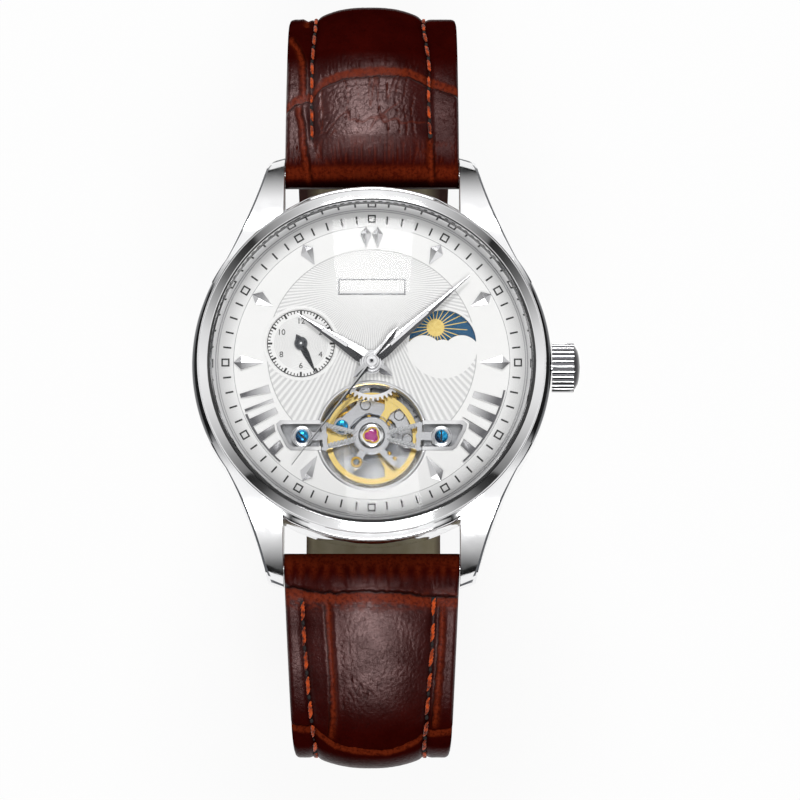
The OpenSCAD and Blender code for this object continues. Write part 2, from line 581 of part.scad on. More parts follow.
module centre_wheel() color("#c8a45c") difference() {
  union() {
    gear(10, barrel_m, 5.85, 6.3, 0);
    spoked(75, 0.12, 6.38, 6.5, 0, 5, 1.1, 0);
    disc(0.42, 5.85, 10.2);
    disc(0.42, 6.3, 6.4);
  }
  disc(arbor_r + 0.03, 0, 20);
}
third_a = meshed(0, 75, 10, dir_of([0, 0], third_p));
module third_wheel() color("#c8a45c") at(third_p) {
  spoked(80, 0.11333, 5.45, 5.6, 0, 5, 0.7, 0);
  gear(10, 0.12, 6.34, 6.6, third_a);
  disc(0.2, 5.25, z_plate - 0.05);
  pivot(4.9, z_plate + 0.4);
}
second_a = meshed(0, 80, 10, dir_of(third_p, [0, 0]));
fourth_a = meshed(0, 80, 6, dir_of(third_p, fourth_p));
module second_pinion() {
  gear(10, 0.11333, 5.3, 5.7, second_a);
  disc(arbor_r, 5.25, 11.1);
  pivot(4.9, 5.3);
}
module fourth_wheel() color("#c8a45c") at(fourth_p) {
  spoked(72, 0.09784, 6.1, 6.24, fourth_a, 4, 0.5, 0);
  gear(6, 0.11333, 5.35, 5.75, fourth_a);
  disc(0.2, 5.25, 6.55);
  pivot(4.9, z_plate + 0.05);
}
escape_a = meshed(fourth_a, 72, 10, dir_of(fourth_p, escape_p));
module escape_wheel() color("#b4b7bb") at(escape_p) {
  translate([0, 0, 5.75]) linear_extrude(0.16) {
    for (k = [0:14]) rotate(k * 24 + 6) polygon([[1.6, -0.16], [2.1, -0.05], [2.36, 0.16], [2.3, 0.3], [1.95, 0.12], [1.6, 0.16]]);
    difference() { circle(r = 1.68, $fn = 96); circle(r = 1.35, $fn = 96); }
    circle(r = 0.5, $fn = 48);
    for (k = [0:3]) rotate(k * 90) translate([0, -0.12]) square([1.5, 0.24]);
  }
  gear(10, 0.09784, 6.02, 6.32, escape_a);
  disc(0.18, 5.25, 6.55);
  pivot(4.9, z_plate + 0.05);
}
fork_a = dir_of(pallet_p, balance_p);
module pallet_fork() color("#a9acb0") at(pallet_p) {
  translate([0, 0, 5.75]) linear_extrude(0.16) rotate(fork_a) union() {
    translate([0, -0.16]) square([3.0, 0.32]);
    polygon([[2.9, -0.3], [3.35, -0.42], [3.35, -0.2], [3.05, -0.06], [3.05, 0.06], [3.35, 0.2], [3.35, 0.42], [2.9, 0.3]]);
    // two arms with their pallet stones, just clear of the teeth
    difference() {
      union() {
        rotate(-72) polygon([[0, -0.2], [1.3, -1.55], [1.62, -1.4], [0.35, 0.15]]);
        rotate(-72) polygon([[-0.35, 0.2], [1.0, 1.75], [1.35, 1.5], [0.2, -0.15]]);
      }
      rotate(-fork_a) translate(escape_p - pallet_p) circle(r = 2.52, $fn = 96);
    }
    circle(r = 0.42, $fn = 48);
  }
  disc(0.15, 5.25, 6.55);
  pivot(4.9, z_plate + 0.05);
}
module balance_wheel() color("#d9c27a") at(balance_p) {
  ring(5.25, 4.63, 7.25, 7.65, 180);
  translate([0, 0, 7.3]) linear_extrude(0.3) {
    circle(r = 0.95, $fn = 48);
    for (a = [60, 180, 300]) rotate(a) polygon([[0, -0.42], [3.6, -0.42], [4.7, -1.0], [4.7, 1.0], [3.6, 0.42], [0, 0.42]]);
  }
  disc(0.3, 6.36, 8.9);
  disc(0.15, 5.3, 6.4);
  disc(0.75, 5.96, 6.05);
  rotate(dir_of(balance_p, pallet_p)) translate([0.56, 0, 0]) disc(0.07, 5.72, 6.0);
  pivot(4.9, 5.3);
  pivot(8.9, 9.5);
}
module hairspring() color("#9fa3aa") at(balance_p, 8.05) linear_extrude(0.2)
  polygon(spiral(0.3, 2.9, 8, 0.06));
rotor_a = 215;
module rotor() color("#c9b06a") rotate(rotor_a) difference() {
  union() {
    translate([0, 0, 2.6]) linear_extrude(0.4) intersection() {
      circle(r = plate_r - 2.6, $fn = 180);
      polygon([[-14, -1.2], [-2, 1.3], [2, 1.3], [14, -1.2], [14, -14], [-14, -14]]);
    }
    translate([0, 0, 2.2]) linear_extrude(1.4) intersection() {
      difference() { circle(r = plate_r - 0.4, $fn = 180); circle(r = plate_r - 2.9, $fn = 180); }
      polygon([[-16, -1.4], [16, -1.4], [16, -16], [-16, -16]]);
    }
    disc(1.7, 2.5, 3.8, 64);
  }
  disc(0.7 + run_fit, 0, 20);
  for (a = [-60, -120]) rotate(a) translate([8, 0, 0]) disc(2.2, 0, 20, 64);
}

// ---- strap ----
function section_skin(s, t, shift) = let (w = taper(s, t) / 2, a = skin_in(s) + shift,
  b = skin_edge(s) + shift, c = skin_top(s) + shift) [
  [-w, a], [-w, b - 0.3], [-w + 0.3, b], [-w + 1.9, b + 0.05], [-w + 2.7, b + 0.5 * (c - b)], [-w + 4, b + 0.92 * (c - b)],
  [0, c], [w - 4, b + 0.92 * (c - b)], [w - 2.7, b + 0.5 * (c - b)], [w - 1.9, b + 0.05], [w - 0.3, b], [w, b - 0.3], [w, a]];
lining_t = 0.8;
function section_lining(s, t, shift) = let (w = taper(s, t) / 2, a = skin_in(s) + shift) [
  [-w, a - lining_t + 0.2], [-w, a], [w, a], [w, a - lining_t + 0.2], [w - 0.3, a - lining_t], [-w + 0.3, a - lining_t]];
function place(s, q) = let (p = on_strap(s, q[1])) [q[0], p[0], p[1]];
module sweep_strap(stations, sections) {
  m = len(sections[0]);
  n = len(stations);
  pts = [for (i = [0:n - 1]) for (q = sections[i]) place(stations[i], q)];
  faces = concat([[for (j = [0:m - 1]) j]], [[for (j = [m - 1:-1:0]) (n - 1) * m + j]],
    [for (i = [0:n - 2], j = [0:m - 1]) [i * m + j, (i + 1) * m + j, (i + 1) * m + (j + 1) % m]],
    [for (i = [0:n - 2], j = [0:m - 1]) [i * m + j, (i + 1) * m + (j + 1) % m, i * m + (j + 1) % m]]);
  polyhedron(points = pts, faces = faces, convexity = 6);
}
function steps(a, b, n) = [for (i = [0:n]) a + (b - a) * i / n];
fold_s = [-1.62, -1.5, -1.2, -0.8, -0.4];
st_top = concat(fold_s, steps(0, 3, 5), steps(4, short_l, 42));
st_lining = concat([1.6], [for (s = st_top) if (s > 1.7) s]);
st_bottom = concat(fold_s, steps(0, 3, 5), steps(4, half_l - 8, 33), steps(half_l - 7, half_l + 4, 11),
  steps(half_l + 6, long_l - 5, 14), [long_l - 3.5, long_l - 1.8, long_l - 0.6]);
st_bottom_lining = concat([1.6], [for (s = st_bottom) if (s > 1.7) s]);
function tip_w(s) = s < long_l - 5 ? 1 : sqrt(max(0.03, 1 - pow((s - long_l + 5) / 5.05, 2)));
function narrow(list, k) = [for (q = list) [q[0] * k, q[1]]];
module strap_top() color("#4a1a12") difference() {
  sweep_strap(st_top, [for (s = st_top) section_skin(s, taper_top, 0)]);
  translate([0, lug_y, lug_z]) along_x(0.9, -12, 12);
  hinge_slot();
}
hinge_p = on_strap(hinge_s, 0);
module hinge_slot() {
  translate([0, hinge_p[0], hinge_p[1]]) along_x(0.8, -12, 12);
  translate([-1.15, hinge_p[0] - 4, hinge_p[1] - 4]) cube([2.3, 5.9, 8]);
}
module strap_top_lining() color("#b5aa8e") difference() {
  sweep_strap(st_lining, [for (s = st_lining) section_lining(s, taper_top, 0)]);
  hinge_slot();
  translate([0, lug_y, lug_z]) along_x(0.9, -12, 12);
}
module strap_bottom() color("#4a1a12") difference() {
  mirror([0, 1, 0]) sweep_strap(st_bottom, [for (s = st_bottom)
    narrow(section_skin(s, taper_low, tail_shift(s)), tip_w(s))]);
  translate([0, -lug_y, lug_z]) along_x(0.9, -12, 12);
  holes_b();
}
module strap_bottom_lining() color("#b5aa8e") difference() {
  mirror([0, 1, 0]) sweep_strap(st_bottom_lining, [for (s = st_bottom_lining)
    narrow(section_lining(s, taper_low, tail_shift(s)), tip_w(s))]);
  translate([0, -lug_y, lug_z]) along_x(0.9, -12, 12);
  holes_b();
}
// round holes of the long piece; the one in use is drawn out by the tongue
module holes_b() {
  for (k = [-2, -1, 1, 2, 3]) let (y = -2.3 + k * hole_pitch, s = y > 0 ? half_l - y : half_l + y,
    p = y > 0 ? on_half(half_l - y, 0) : on_half(half_l + y, 0), g = y > 0 ? 1 : -1)
    translate([0, g * p[0], p[1]]) rotate([g * (180 + head(half_l - abs(y))), 0, 0])
      translate([0, 0, -8]) cylinder(d = hole_d, h = 16, $fn = 32);
  translate([-1.15, outer_bar_y + 2.6, z_low - 0.4]) cube([2.3, 7.4, 8]);
}
module lug_bars() color("#a9abae") for (s = [-1, 1]) translate([0, s * lug_y, lug_z]) difference() {
  along_x(0.85, -lug_gap / 2 + 0.25, lug_gap / 2 - 0.25);
  for (t = [-1, 1]) scale([t, 1, 1]) along_x(0.45 + run_fit, lug_gap / 2 - 2.0, lug_gap / 2);
}
module tips(side) for (s = [-1, 1]) translate([0, s * lug_y, lug_z]) mirror([side < 0 ? 1 : 0, 0, 0])
  along_x(0.45, lug_gap / 2 - 1.1, lug_gap / 2 + 1.0);
module lug_bar_tips_left() color("#a9abae") tips(-1);
module lug_bar_tips_right() color("#a9abae") tips(1);
outer_z = z_low + outer_bar_r - 0.15;
arm_x = strap_end_w / 2 + 0.7;
arm_w = 1.5;
module buckle_frame() color("#c9cbce") {
  dy = hinge_p[0] - outer_bar_y;
  dz = hinge_p[1] - outer_z;
  for (s = [-1, 1]) scale([s, 1, 1]) difference() {
    union() {
      translate([0, hinge_p[0], hinge_p[1]]) along_x(1.3, arm_x, arm_x + arm_w);
      difference() {
        translate([0, outer_bar_y, outer_z]) along_x(outer_bar_r, arm_x, arm_x + arm_w);
        translate([0, outer_bar_y - 3, z_low - 1]) cube([40, 6, 1]);
      }
      translate([arm_x, outer_bar_y, outer_z]) rotate([atan2(dz, dy), 0, 0]) translate([0, 0, -0.95])
        cube([arm_w, norm([dy, dz]), 1.9]);
    }
    translate([0, hinge_p[0], hinge_p[1]]) along_x(0.7, 0, 30);
  }
  difference() {
    translate([0, outer_bar_y, outer_z]) along_x(outer_bar_r, -arm_x - e, arm_x + e);
    // notch that the tongue rests in
    tongue_blade(0.06);
    translate([-20, outer_bar_y - 3, z_low - 1]) cube([40, 6, 1]);
  }
  // hinge bar
  translate([0, hinge_p[0], hinge_p[1]]) along_x(0.7, -arm_x - arm_w, arm_x + arm_w);
}
tongue_tip = [outer_bar_y - 1.4, z_low + 0.42];
module tongue_blade(c) {
  d = hinge_p - tongue_tip;
  translate([0, tongue_tip[0], tongue_tip[1]]) rotate([atan2(d[1], d[0]), 0, 0])
    translate([-0.75 - c, -3 * c, -0.3 - 40 * c]) cube([1.5 + 2 * c, norm(d) + 3 * c, 0.65 + 41 * c]);
}
module buckle_tongue() color("#c9cbce") difference() {
  union() {
    translate([0, hinge_p[0], hinge_p[1]]) along_x(1.1, -0.75, 0.75);
    tongue_blade(0);
  }
  translate([0, hinge_p[0], hinge_p[1]]) along_x(0.7 + run_fit, -12, 12);
}
// leather loop round the strap at s, between two heights off the strap's line
module keeper_loop(s, reach, low, high) {
  p = on_half(s, 0);
  w = taper(s - reach, taper_top) / 2 + strap_fit;
  translate([0, p[0], p[1]]) rotate([head(s) + 180, 0, 0]) rotate([180, 0, 0]) difference() {
    translate([-w - 1, -keeper_w / 2, low - 0.9]) cube([2 * w + 2, keeper_w, high - low + 1.8]);
    translate([-w, -keeper_w, low]) cube([2 * w, 2 * keeper_w, high - low]);
  }
}
// how far the curved strap rises over a straight length
function sag(l) = l * l / (8 * low_r);
module fixed_keeper() color("#4a1a12") keeper_loop(half_l - 10.5, keeper_w / 2, -1.3 - sag(keeper_w) + e / 2, 4.3);
slide_l = 8;
module free_keeper() color("#4a1a12") keeper_loop(half_l - 22, (slide_l + keeper_w) / 2,
  -1.33 - sag(slide_l + keeper_w) - 0.1, 4.45);

mid_case();
bezel();
crystal();
case_gaskets();
rehaut_ring();
case_back();
case_back_glass();
crown_tube();
crown_gasket();
crown();
winding_stem();
movement_holder();
dial();
hour_markers();
roman_numerals();
dial_trim();
hour_hand();
minute_hand();
second_hand();
zone_hand();
day_night_disc();
cannon_pinion();
minute_wheel();
hour_wheel();
zone_idler();
day_night_idler();
main_plate();
barrel_bridge();
train_bridge();
balance_bridge();
pallet_bridge();
regulator();
jewels();
blued_screws();
plate_screws();
mainspring_barrel();
mainspring();
centre_wheel();
third_wheel();
fourth_wheel();
escape_wheel();
pallet_fork();
balance_wheel();
hairspring();
winding_pinion();
crown_wheel();
ratchet_wheel();
click();
rotor();
strap_top();
strap_top_lining();
strap_bottom();
strap_bottom_lining();
lug_bars();
lug_bar_tips_left();
lug_bar_tips_right();
buckle_frame();
buckle_tongue();
fixed_keeper();
free_keeper();
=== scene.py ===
import json
import math
import bmesh
import bpy
import numpy as np
from mathutils import Matrix, Vector, noise


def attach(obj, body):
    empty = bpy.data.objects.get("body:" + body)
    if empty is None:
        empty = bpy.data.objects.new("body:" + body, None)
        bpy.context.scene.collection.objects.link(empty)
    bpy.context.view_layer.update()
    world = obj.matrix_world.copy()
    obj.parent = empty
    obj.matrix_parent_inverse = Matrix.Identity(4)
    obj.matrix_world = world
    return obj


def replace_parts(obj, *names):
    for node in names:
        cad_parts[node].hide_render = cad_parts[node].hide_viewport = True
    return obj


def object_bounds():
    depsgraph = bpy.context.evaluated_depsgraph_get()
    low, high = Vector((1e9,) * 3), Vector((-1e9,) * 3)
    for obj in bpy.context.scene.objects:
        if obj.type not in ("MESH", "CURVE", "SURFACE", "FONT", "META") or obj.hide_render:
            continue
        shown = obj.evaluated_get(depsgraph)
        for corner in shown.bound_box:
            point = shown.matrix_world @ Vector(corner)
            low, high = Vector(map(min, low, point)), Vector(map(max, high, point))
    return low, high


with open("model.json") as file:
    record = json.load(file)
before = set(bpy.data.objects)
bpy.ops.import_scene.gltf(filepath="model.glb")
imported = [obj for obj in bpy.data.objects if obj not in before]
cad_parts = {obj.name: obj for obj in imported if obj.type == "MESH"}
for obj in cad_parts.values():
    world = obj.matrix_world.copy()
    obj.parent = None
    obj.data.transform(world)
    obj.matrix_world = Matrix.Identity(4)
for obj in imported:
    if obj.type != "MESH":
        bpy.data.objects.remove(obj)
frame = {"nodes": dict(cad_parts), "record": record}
cad_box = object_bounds()
MM = 0.001
BODY_OF = {n: b for b, ns in frame["record"]["behaviour"]["bodies"].items() for n in ns}
pi, sin, cos = math.pi, math.sin, math.cos

# places on the dial and its height, mm
DIAL_Z = 9.8
ZONE, WINDOW, BAL = (-8, 2.2), (8, 2.24), (0, -8.33)
RAY_FIELD, RAY_HUB = (0, 1.14), (0, 8.7)


# ---- small tools ----
def srgb(code):
    """An sRGB hex colour as the linear values that shaders take."""
    parts = [int(code[i:i + 2], 16) / 255 for i in (1, 3, 5)]
    return [c / 12.92 if c <= 0.04045 else ((c + 0.055) / 1.055) ** 2.4 for c in parts] + [1.0]


def darker(code, share):
    return [c * share for c in srgb(code)[:3]] + [1.0]


def every(mm):
    """A texture's scale for grains that are so many millimetres apart."""
    return 1 / (mm * MM)


def fill(mat, socket, value):
    """Links a socket to another one, or sets its own value."""
    if isinstance(value, bpy.types.NodeSocket):
        mat.node_tree.links.new(value, socket)
    else:
        socket.default_value = srgb(value) if isinstance(value, str) else value


def add(mat, kind, *values, out=0, **settings):
    """Adds one node: values fill its inputs in order, names set it up or fill the input so named."""
    node = mat.node_tree.nodes.new("ShaderNode" + kind)
    for key, value in settings.items():
        if hasattr(node, key):
            setattr(node, key, value)
        else:
            fill(mat, node.inputs[key.replace("_", " ")], value)
    for socket, value in zip(node.inputs, values):
        fill(mat, socket, value)
    return node.outputs[out]


def material(name, colour, rough=0.4, metal=0.0):
    """A new material with its Principled shader, and the place on the object that its patterns read."""
    mat = bpy.data.materials.new(name)
    mat.use_nodes = True
    surface(mat, Base_Color=colour, Roughness=rough, Metallic=metal)
    return mat, add(mat, "TexCoord", out="Object")


def surface(mat, colours=(), bumps=(), **inputs):
    """Fills a material's shader. Colours lie over each other, each but the first as (mask, share, colour);
    bumps are (height, strength, depth in mm)."""
    shader = mat.node_tree.nodes["Principled BSDF"]
    for layer in colours[1:]:
        mask, share, over = layer
        if share != 1:
            mask = add(mat, "Math", mask, share, operation="MULTIPLY")
        inputs["Base_Color"] = add(mat, "MixRGB", mask, inputs.get("Base_Color", colours[0]), over)
    for height, strength, depth in bumps:
        dent = {"Normal": inputs["Normal"]} if "Normal" in inputs else {}
        inputs["Normal"] = add(mat, "Bump", Height=height, Strength=strength, Distance=depth * MM, **dent)
    for key, value in inputs.items():
        fill(mat, shader.inputs[key.replace("_", " ")], value)


def end(mat, shader):
    """Sends a material made of other shaders to its output."""
    fill(mat, mat.node_tree.nodes["Material Output"].inputs["Surface"], shader)


def to_object(name, bm, mats=(), smooth=35, body="watch", normals=True):
    """Ends a bmesh as an object whose place is in its mesh, smooth but for edges sharper than
    so many degrees."""
    if normals:
        bmesh.ops.recalc_face_normals(bm, faces=bm.faces)
    mesh = bpy.data.meshes.new(name)
    bm.to_mesh(mesh)
    bm.free()
    obj = bpy.data.objects.new(name, mesh)
    bpy.context.scene.collection.objects.link(obj)
    for m in mats:
        mesh.materials.append(m)
    if smooth:
        for p in mesh.polygons:
            p.use_smooth = True
        mesh.set_sharp_from_angle(angle=math.radians(smooth))
    if body:
        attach(obj, body)
    return obj


def bevelled(obj, width, segments=2):
    """Softens the edges by a width in mm."""
    mod = obj.modifiers.new("edge", "BEVEL")
    mod.width, mod.segments, mod.limit_method = width * MM, segments, "ANGLE"
    mod.angle_limit, mod.harden_normals = math.radians(30), True


def solid_of(node, flats=True):
    """A CAD node's own solid, merged, its flat faces made whole."""
    bm = bmesh.new()
    bm.from_mesh(frame["nodes"][node].data)
    bmesh.ops.remove_doubles(bm, verts=bm.verts, dist=2e-6)
    if flats:
        bmesh.ops.dissolve_limit(bm, angle_limit=math.radians(0.5), verts=bm.verts, edges=bm.edges,
                                 delimit={"NORMAL"})
    return bm


def dressed(node, mat, width=0.04, segments=2):
    """A CAD node's solid with softened edges (mm) and a finish."""
    obj = to_object(node + "_finish", solid_of(node), [mat], body=BODY_OF[node])
    if width:
        bevelled(obj, width, segments)
    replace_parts(obj, node)
    return obj


def sliced(bm, at, normal, closed=True, **side):
    """Cuts everything off on one side of a plane."""
    bmesh.ops.bisect_plane(bm, geom=bm.verts[:] + bm.edges[:] + bm.faces[:], plane_co=at, plane_no=normal,
                           **side)
    if closed:
        bmesh.ops.holes_fill(bm, edges=[e for e in bm.edges if e.is_boundary], sides=0)


def raised(bm, faces):
    """Gives faces a far side and returns its vertices, still in place."""
    new = bmesh.ops.extrude_face_region(bm, geom=faces, use_keep_orig=True)["geom"]
    return [g for g in new if isinstance(g, bmesh.types.BMVert)]


def below(node, z, mat, name):
    """The part of a CAD node that lies under a height (mm), closed at the cut."""
    bm = solid_of(node, flats=False)
    sliced(bm, (0, 0, z * MM), (0, 0, 1), clear_outer=True)
    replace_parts(to_object(name, bm, [mat], body=BODY_OF[node]), node)


def turn(a, at=(0, 0)):
    """A turn about Z in degrees clockwise from 12, then a move in plan (mm)."""
    return Matrix.Translation((at[0] * MM, at[1] * MM, 0)) @ Matrix.Rotation(-math.radians(a), 4, "Z")


def flat(bm, pts, z, fill=True, m=None):
    """A closed outline (mm) at one height, filled or as a wire."""
    vs = bmesh.ops.create_circle(bm, cap_ends=fill, radius=1, segments=len(pts))["verts"]
    for v, p in zip(vs, pts):
        v.co = Vector((p[0] * MM, p[1] * MM, z * MM))
    if m is not None:
        bmesh.ops.transform(bm, matrix=m, verts=vs)
    return vs


def prism(bm, pts, z0, z1, m=None):
    """An outline raised from one height to another."""
    vs = flat(bm, pts, z0, m=m)
    new = raised(bm, [f for f in vs[0].link_faces if len(f.verts) == len(pts)])
    bmesh.ops.translate(bm, verts=new, vec=(0, 0, (z1 - z0) * MM))
    return vs + new


def band(bm, loops, z, deep):
    """A flat band between two outlines (mm) at one height, given a thickness."""
    rings = [flat(bm, pts, z, fill=False) for pts in loops]
    edges = list({e for v in rings[0] + rings[1] for e in v.link_edges})
    faces = bmesh.ops.bridge_loops(bm, edges=edges)["faces"]
    bmesh.ops.translate(bm, verts=raised(bm, faces), vec=(0, 0, deep * MM))


def box(bm, x0, x1, y0, y1, z0, z1, m=None):
    prism(bm, [(x0, y0), (x1, y0), (x1, y1), (x0, y1)], z0, z1, m)


def disc(bm, r, z0, z1, at=(0, 0), seg=48, r2=None):
    """A round boss, straight or tapered."""
    m = Matrix.Translation((at[0] * MM, at[1] * MM, (z0 + z1) / 2 * MM))
    top = r if r2 is None else r2
    bmesh.ops.create_cone(bm, cap_ends=True, segments=seg, radius1=r * MM, radius2=top * MM,
                          depth=(z1 - z0) * MM, matrix=m)


def lathe(bm, profile, at=(0, 0), steps=180):
    """A closed (r, z) profile in mm turned all round an upright axis."""
    vs = flat(bm, [(p[0], 0) for p in profile], 0, fill=False)
    for v, p in zip(vs, profile):
        v.co = Vector(((p[0] + at[0]) * MM, at[1] * MM, p[1] * MM))
    edges = list({e for v in vs for e in v.link_edges})
    bmesh.ops.spin(bm, geom=vs + edges, angle=2 * pi, steps=steps, axis=(0, 0, 1), use_merge=True,
                   cent=(at[0] * MM, at[1] * MM, 0))


def from_height(z, profile):
    """A profile whose heights are given from a level."""
    return [(r, z + up) for r, up in profile]


def washer(bm, r0, r1, z0, z1, at=(0, 0), steps=180):
    """A thin flat ring from one radius to another."""
    lathe(bm, [(r0, z0), (r1, z0), (r1, z1), (r0, z1)], at, steps)


def turned(name, profile, mat, smooth, places=((0, 0),), steps=180):
    """A turned piece, or several alike, as an object."""
    bm = bmesh.new()
    for at in places:
        lathe(bm, profile, at, steps)
    return to_object(name, bm, [mat], smooth)


def bosses(name, mat, smooth, discs, body="watch"):
    """A stack of discs as an object, each (radius, bottom, top, place, sides[, radius at the top])."""
    bm = bmesh.new()
    for d in discs:
        disc(bm, *d)
    to_object(name, bm, [mat], smooth, body)


def domes(name, mat, smooth, places, z, r, high, sides, body="watch"):
    """Flattened balls as an object."""
    bm = bmesh.new()
    for x, y in places:
        m = Matrix.Translation((x * MM, y * MM, z * MM)) @ Matrix.Diagonal((r * MM, r * MM, high * MM, 1))
        bmesh.ops.create_uvsphere(bm, u_segments=sides[0], v_segments=sides[1], radius=1, matrix=m)
    to_object(name, bm, [mat], smooth, body)


def ribbon(bm, stations, bottom, m=None, dark=0):
    """A ridged blade along +Y: stations of (y, left x, right x, left z, ridge z, right z).
    The facets of the dark side (-1 left, 1 right) take the second finish, which carries painted shade."""
    n = len(stations)
    vs = bmesh.ops.create_grid(bm, x_segments=2, y_segments=n - 1, size=1)["verts"]
    for f in {f for v in vs for f in v.link_faces}:
        f.material_index = 1 if dark * f.calc_center_median().x > 0 else 0
    for v in vs:
        y, left, right, *heights = stations[round((v.co.y + 1) / 2 * (n - 1))]
        i = round(v.co.x) + 1
        v.co = Vector(((left, (left + right) / 2, right)[i] * MM, y * MM, heights[i] * MM))
    new = raised(bm, list({f for v in vs for f in v.link_faces}))
    for v in new:
        v.co.z = bottom * MM
    if m is not None:
        bmesh.ops.transform(bm, matrix=m, verts=vs + new)


def ease(t):
    """From 0 to 1, starting and ending slowly."""
    u = max(0.0, min(1.0, t))
    return u * u * (3 - 2 * u)


# ---- finishes ----
def far_from(mat, here, *places):
    """How far a point is, in plan and mm, from each of these places on the dial."""
    plan = add(mat, "VectorMath", here, (1000, 1000, 0), operation="MULTIPLY")
    return [add(mat, "VectorMath", plan, (x, y, 0), operation="DISTANCE", out="Value") for x, y in places]


def steel(name, tone, rough):
    """Lapped and buffed stainless steel: a near mirror with faint hairlines."""
    mat, here = material(name, tone, rough, 1.0)
    hair = add(mat, "TexNoise", here, Scale=every(1.4286), Detail=3.0)
    surface(mat, Roughness=add(mat, "MapRange", hair, 0.3, 0.7, rough * 0.7, rough * 1.5))
    return mat


def brushed(name, tone, rough=0.3, grain=0.4, across=(1, 9, 1), depth=0.06, dark=0.8):
    """Metal with a fine brushed or frosted surface that blurs its reflections."""
    mat, here = material(name, tone, rough, 1.0)
    stretch = add(mat, "Mapping", here, Scale=across)
    grains = add(mat, "TexNoise", stretch, Scale=every(grain), Detail=2.0)
    surface(mat, [tone, (grains, 1, darker(tone, dark))], [(grains, depth, 0.02)])
    return mat


def striped(name, tone, pitch):
    """Plated brass with straight milled stripes, each a shallow polished arc; its colour darkens across each
    stripe as painted shade of the arc.
    """
    mat, here = material(name, tone, 0.25, 1.0)
    # a wave of scale 1 repeats every 0.31416 units
    stripes = add(mat, "TexWave", here, out="Fac", Scale=0.31416 * every(pitch), Distortion=0.0,
                  bands_direction="X", wave_profile="SAW")
    grains = add(mat, "TexNoise", here, Scale=every(0.2857))
    surface(mat, [tone, (stripes, 1, darker(tone, 0.8))], [(stripes, 0.35, 0.12), (grains, 0.05, 0.02)])
    return mat


def grained(name, tones, rough, grain, metal=0.0, detail=2.0, depth=0.0, deep=0.02):
    """A plain surface with an even grain (mm) that mottles its colour or dents it."""
    mat, here = material(name, tones[0], rough, metal)
    grains = add(mat, "TexNoise", here, Scale=every(grain), Detail=detail)
    surface(mat, [tones[0]] + [(grains, 1, t) for t in tones[1:]], [(grains, depth, deep)] if depth else [])
    return mat


# bright case steel: white where it faces the sky, black lines along its edges
STEEL = steel("polished_316L_steel", "#f2f2f3", 0.05)
# lugs and shoulders: buffed a little softer, with painted shade that makes them dark where the shoulder turns
# down at 3 and 9
LUG_STEEL_PAINTED_SHADE = steel("buffed_316L_steel_painted_side_shade", "#f2f2f3", 0.13)
_here = add(LUG_STEEL_PAINTED_SHADE, "TexCoord", out="Object")
_side = add(LUG_STEEL_PAINTED_SHADE, "VectorMath", _here, operation="ABSOLUTE")
_side = add(LUG_STEEL_PAINTED_SHADE, "SeparateXYZ", _side, out="Y")
surface(LUG_STEEL_PAINTED_SHADE, ["#68696b", (add(LUG_STEEL_PAINTED_SHADE, "MapRange", _side, 8 * MM, 12.5 * MM), 1, "#f2f2f3")])
# name plate: rhodium plated and diamond-cut, a shade darker than the case
RHODIUM = steel("diamond_cut_rhodium", "#dcdde0", 0.09)
# small steelwork of the movement: cool grey with a fine straight grain
SATIN = brushed("straight_grained_steel", "#c9cacd", 0.26)
# frosted main plate: pale matt silver
FROST = brushed("frosted_rhodium_plate", "#a9aaad", 0.38, 0.5556, (1, 1, 1), 0.3, 0.72)
# bridges: silver stripes 1.6 mm wide; the rotor: the same milling under a pale gilding
STRIPED = striped("striped_rhodium_bridge", "#cfd0d2", 1.6)
GOLD_ROTOR = striped("striped_gilt_rotor", "#d9bd74", 1.6)
# train wheels: warm yellow gilt with a circular grain
BRASS = brushed("gilt_brass", "#e0b95c", 0.2, 0.5, (1, 1, 1), 0.05)
# the balance: paler straw-yellow metal, brightly polished
BALANCE = brushed("polished_glucydur", "#f1d588", 0.16, 1.1111, (1, 1, 1), 0.02, 0.93)
# twisted bars of the bridge: bead-blasted nickel, pale and matt
BLASTED = brushed("bead_blasted_nickel", "#e2e3e5", 0.45, 0.3846, (1, 1, 1), 0.15, 0.85)
surface(BLASTED, Metallic=0.35)
# the crown's end: black polished; the same black is painted shade in the crown's grooves, the jewel setting's
# groove and the screws' slots
BLACK_STEEL_AND_PAINTED_SHADE = steel("black_polished_steel_and_painted_shade", "#3a3a3c", 0.12)
# springs: rolled strip, blue-grey and bright
SPRING = steel("blue_grey_spring_steel", "#8d939f", 0.2)
# small hand and inlay beds: steel blacked to a dark grey; on the stud ball and the lugs' outer bevels it is a
# painted dark reflection, on the numerals' bevels that face the lower right painted shade
DARK_STEEL_AND_PAINTED_SHADE = steel("grey_blackened_steel_and_painted_shade", "#5a5c60", 0.16)
# lit facets of hands and indexes: lapped to a bright pearl white
BRIGHT = brushed("lapped_rhodium_bright_facet", "#dfdfe1", 0.3, 0.4, (1, 1, 1), 0.02, 0.93)
# rubber seals: dull black with a moulded grain
RUBBER = grained("black_nitrile_rubber", ["#1c1c1d"], 0.6, 0.6667, depth=0.2)
# jewels: clear magenta ruby, lit from inside
RUBY = grained("polished_synthetic_ruby", ["#740750", "#d02aa0"], 0.04, 1.1111, detail=1.0)
surface(RUBY, Coat_Weight=1.0, Coat_Roughness=0.03, Subsurface_Weight=0.3,
        Subsurface_Radius=(0.0006, 0.0001, 0.0004))
# printed figures: flat black lacquer with a slight gloss; the thin lines are grey
INK = grained("pad_printed_black_lacquer", ["#0c0c0d"], 0.35, 0.25, depth=0.1, deep=0.01)
GREY_INK = grained("thin_grey_printed_line", ["#8b8b8d"], 0.4, 0.25, depth=0.1, deep=0.01)
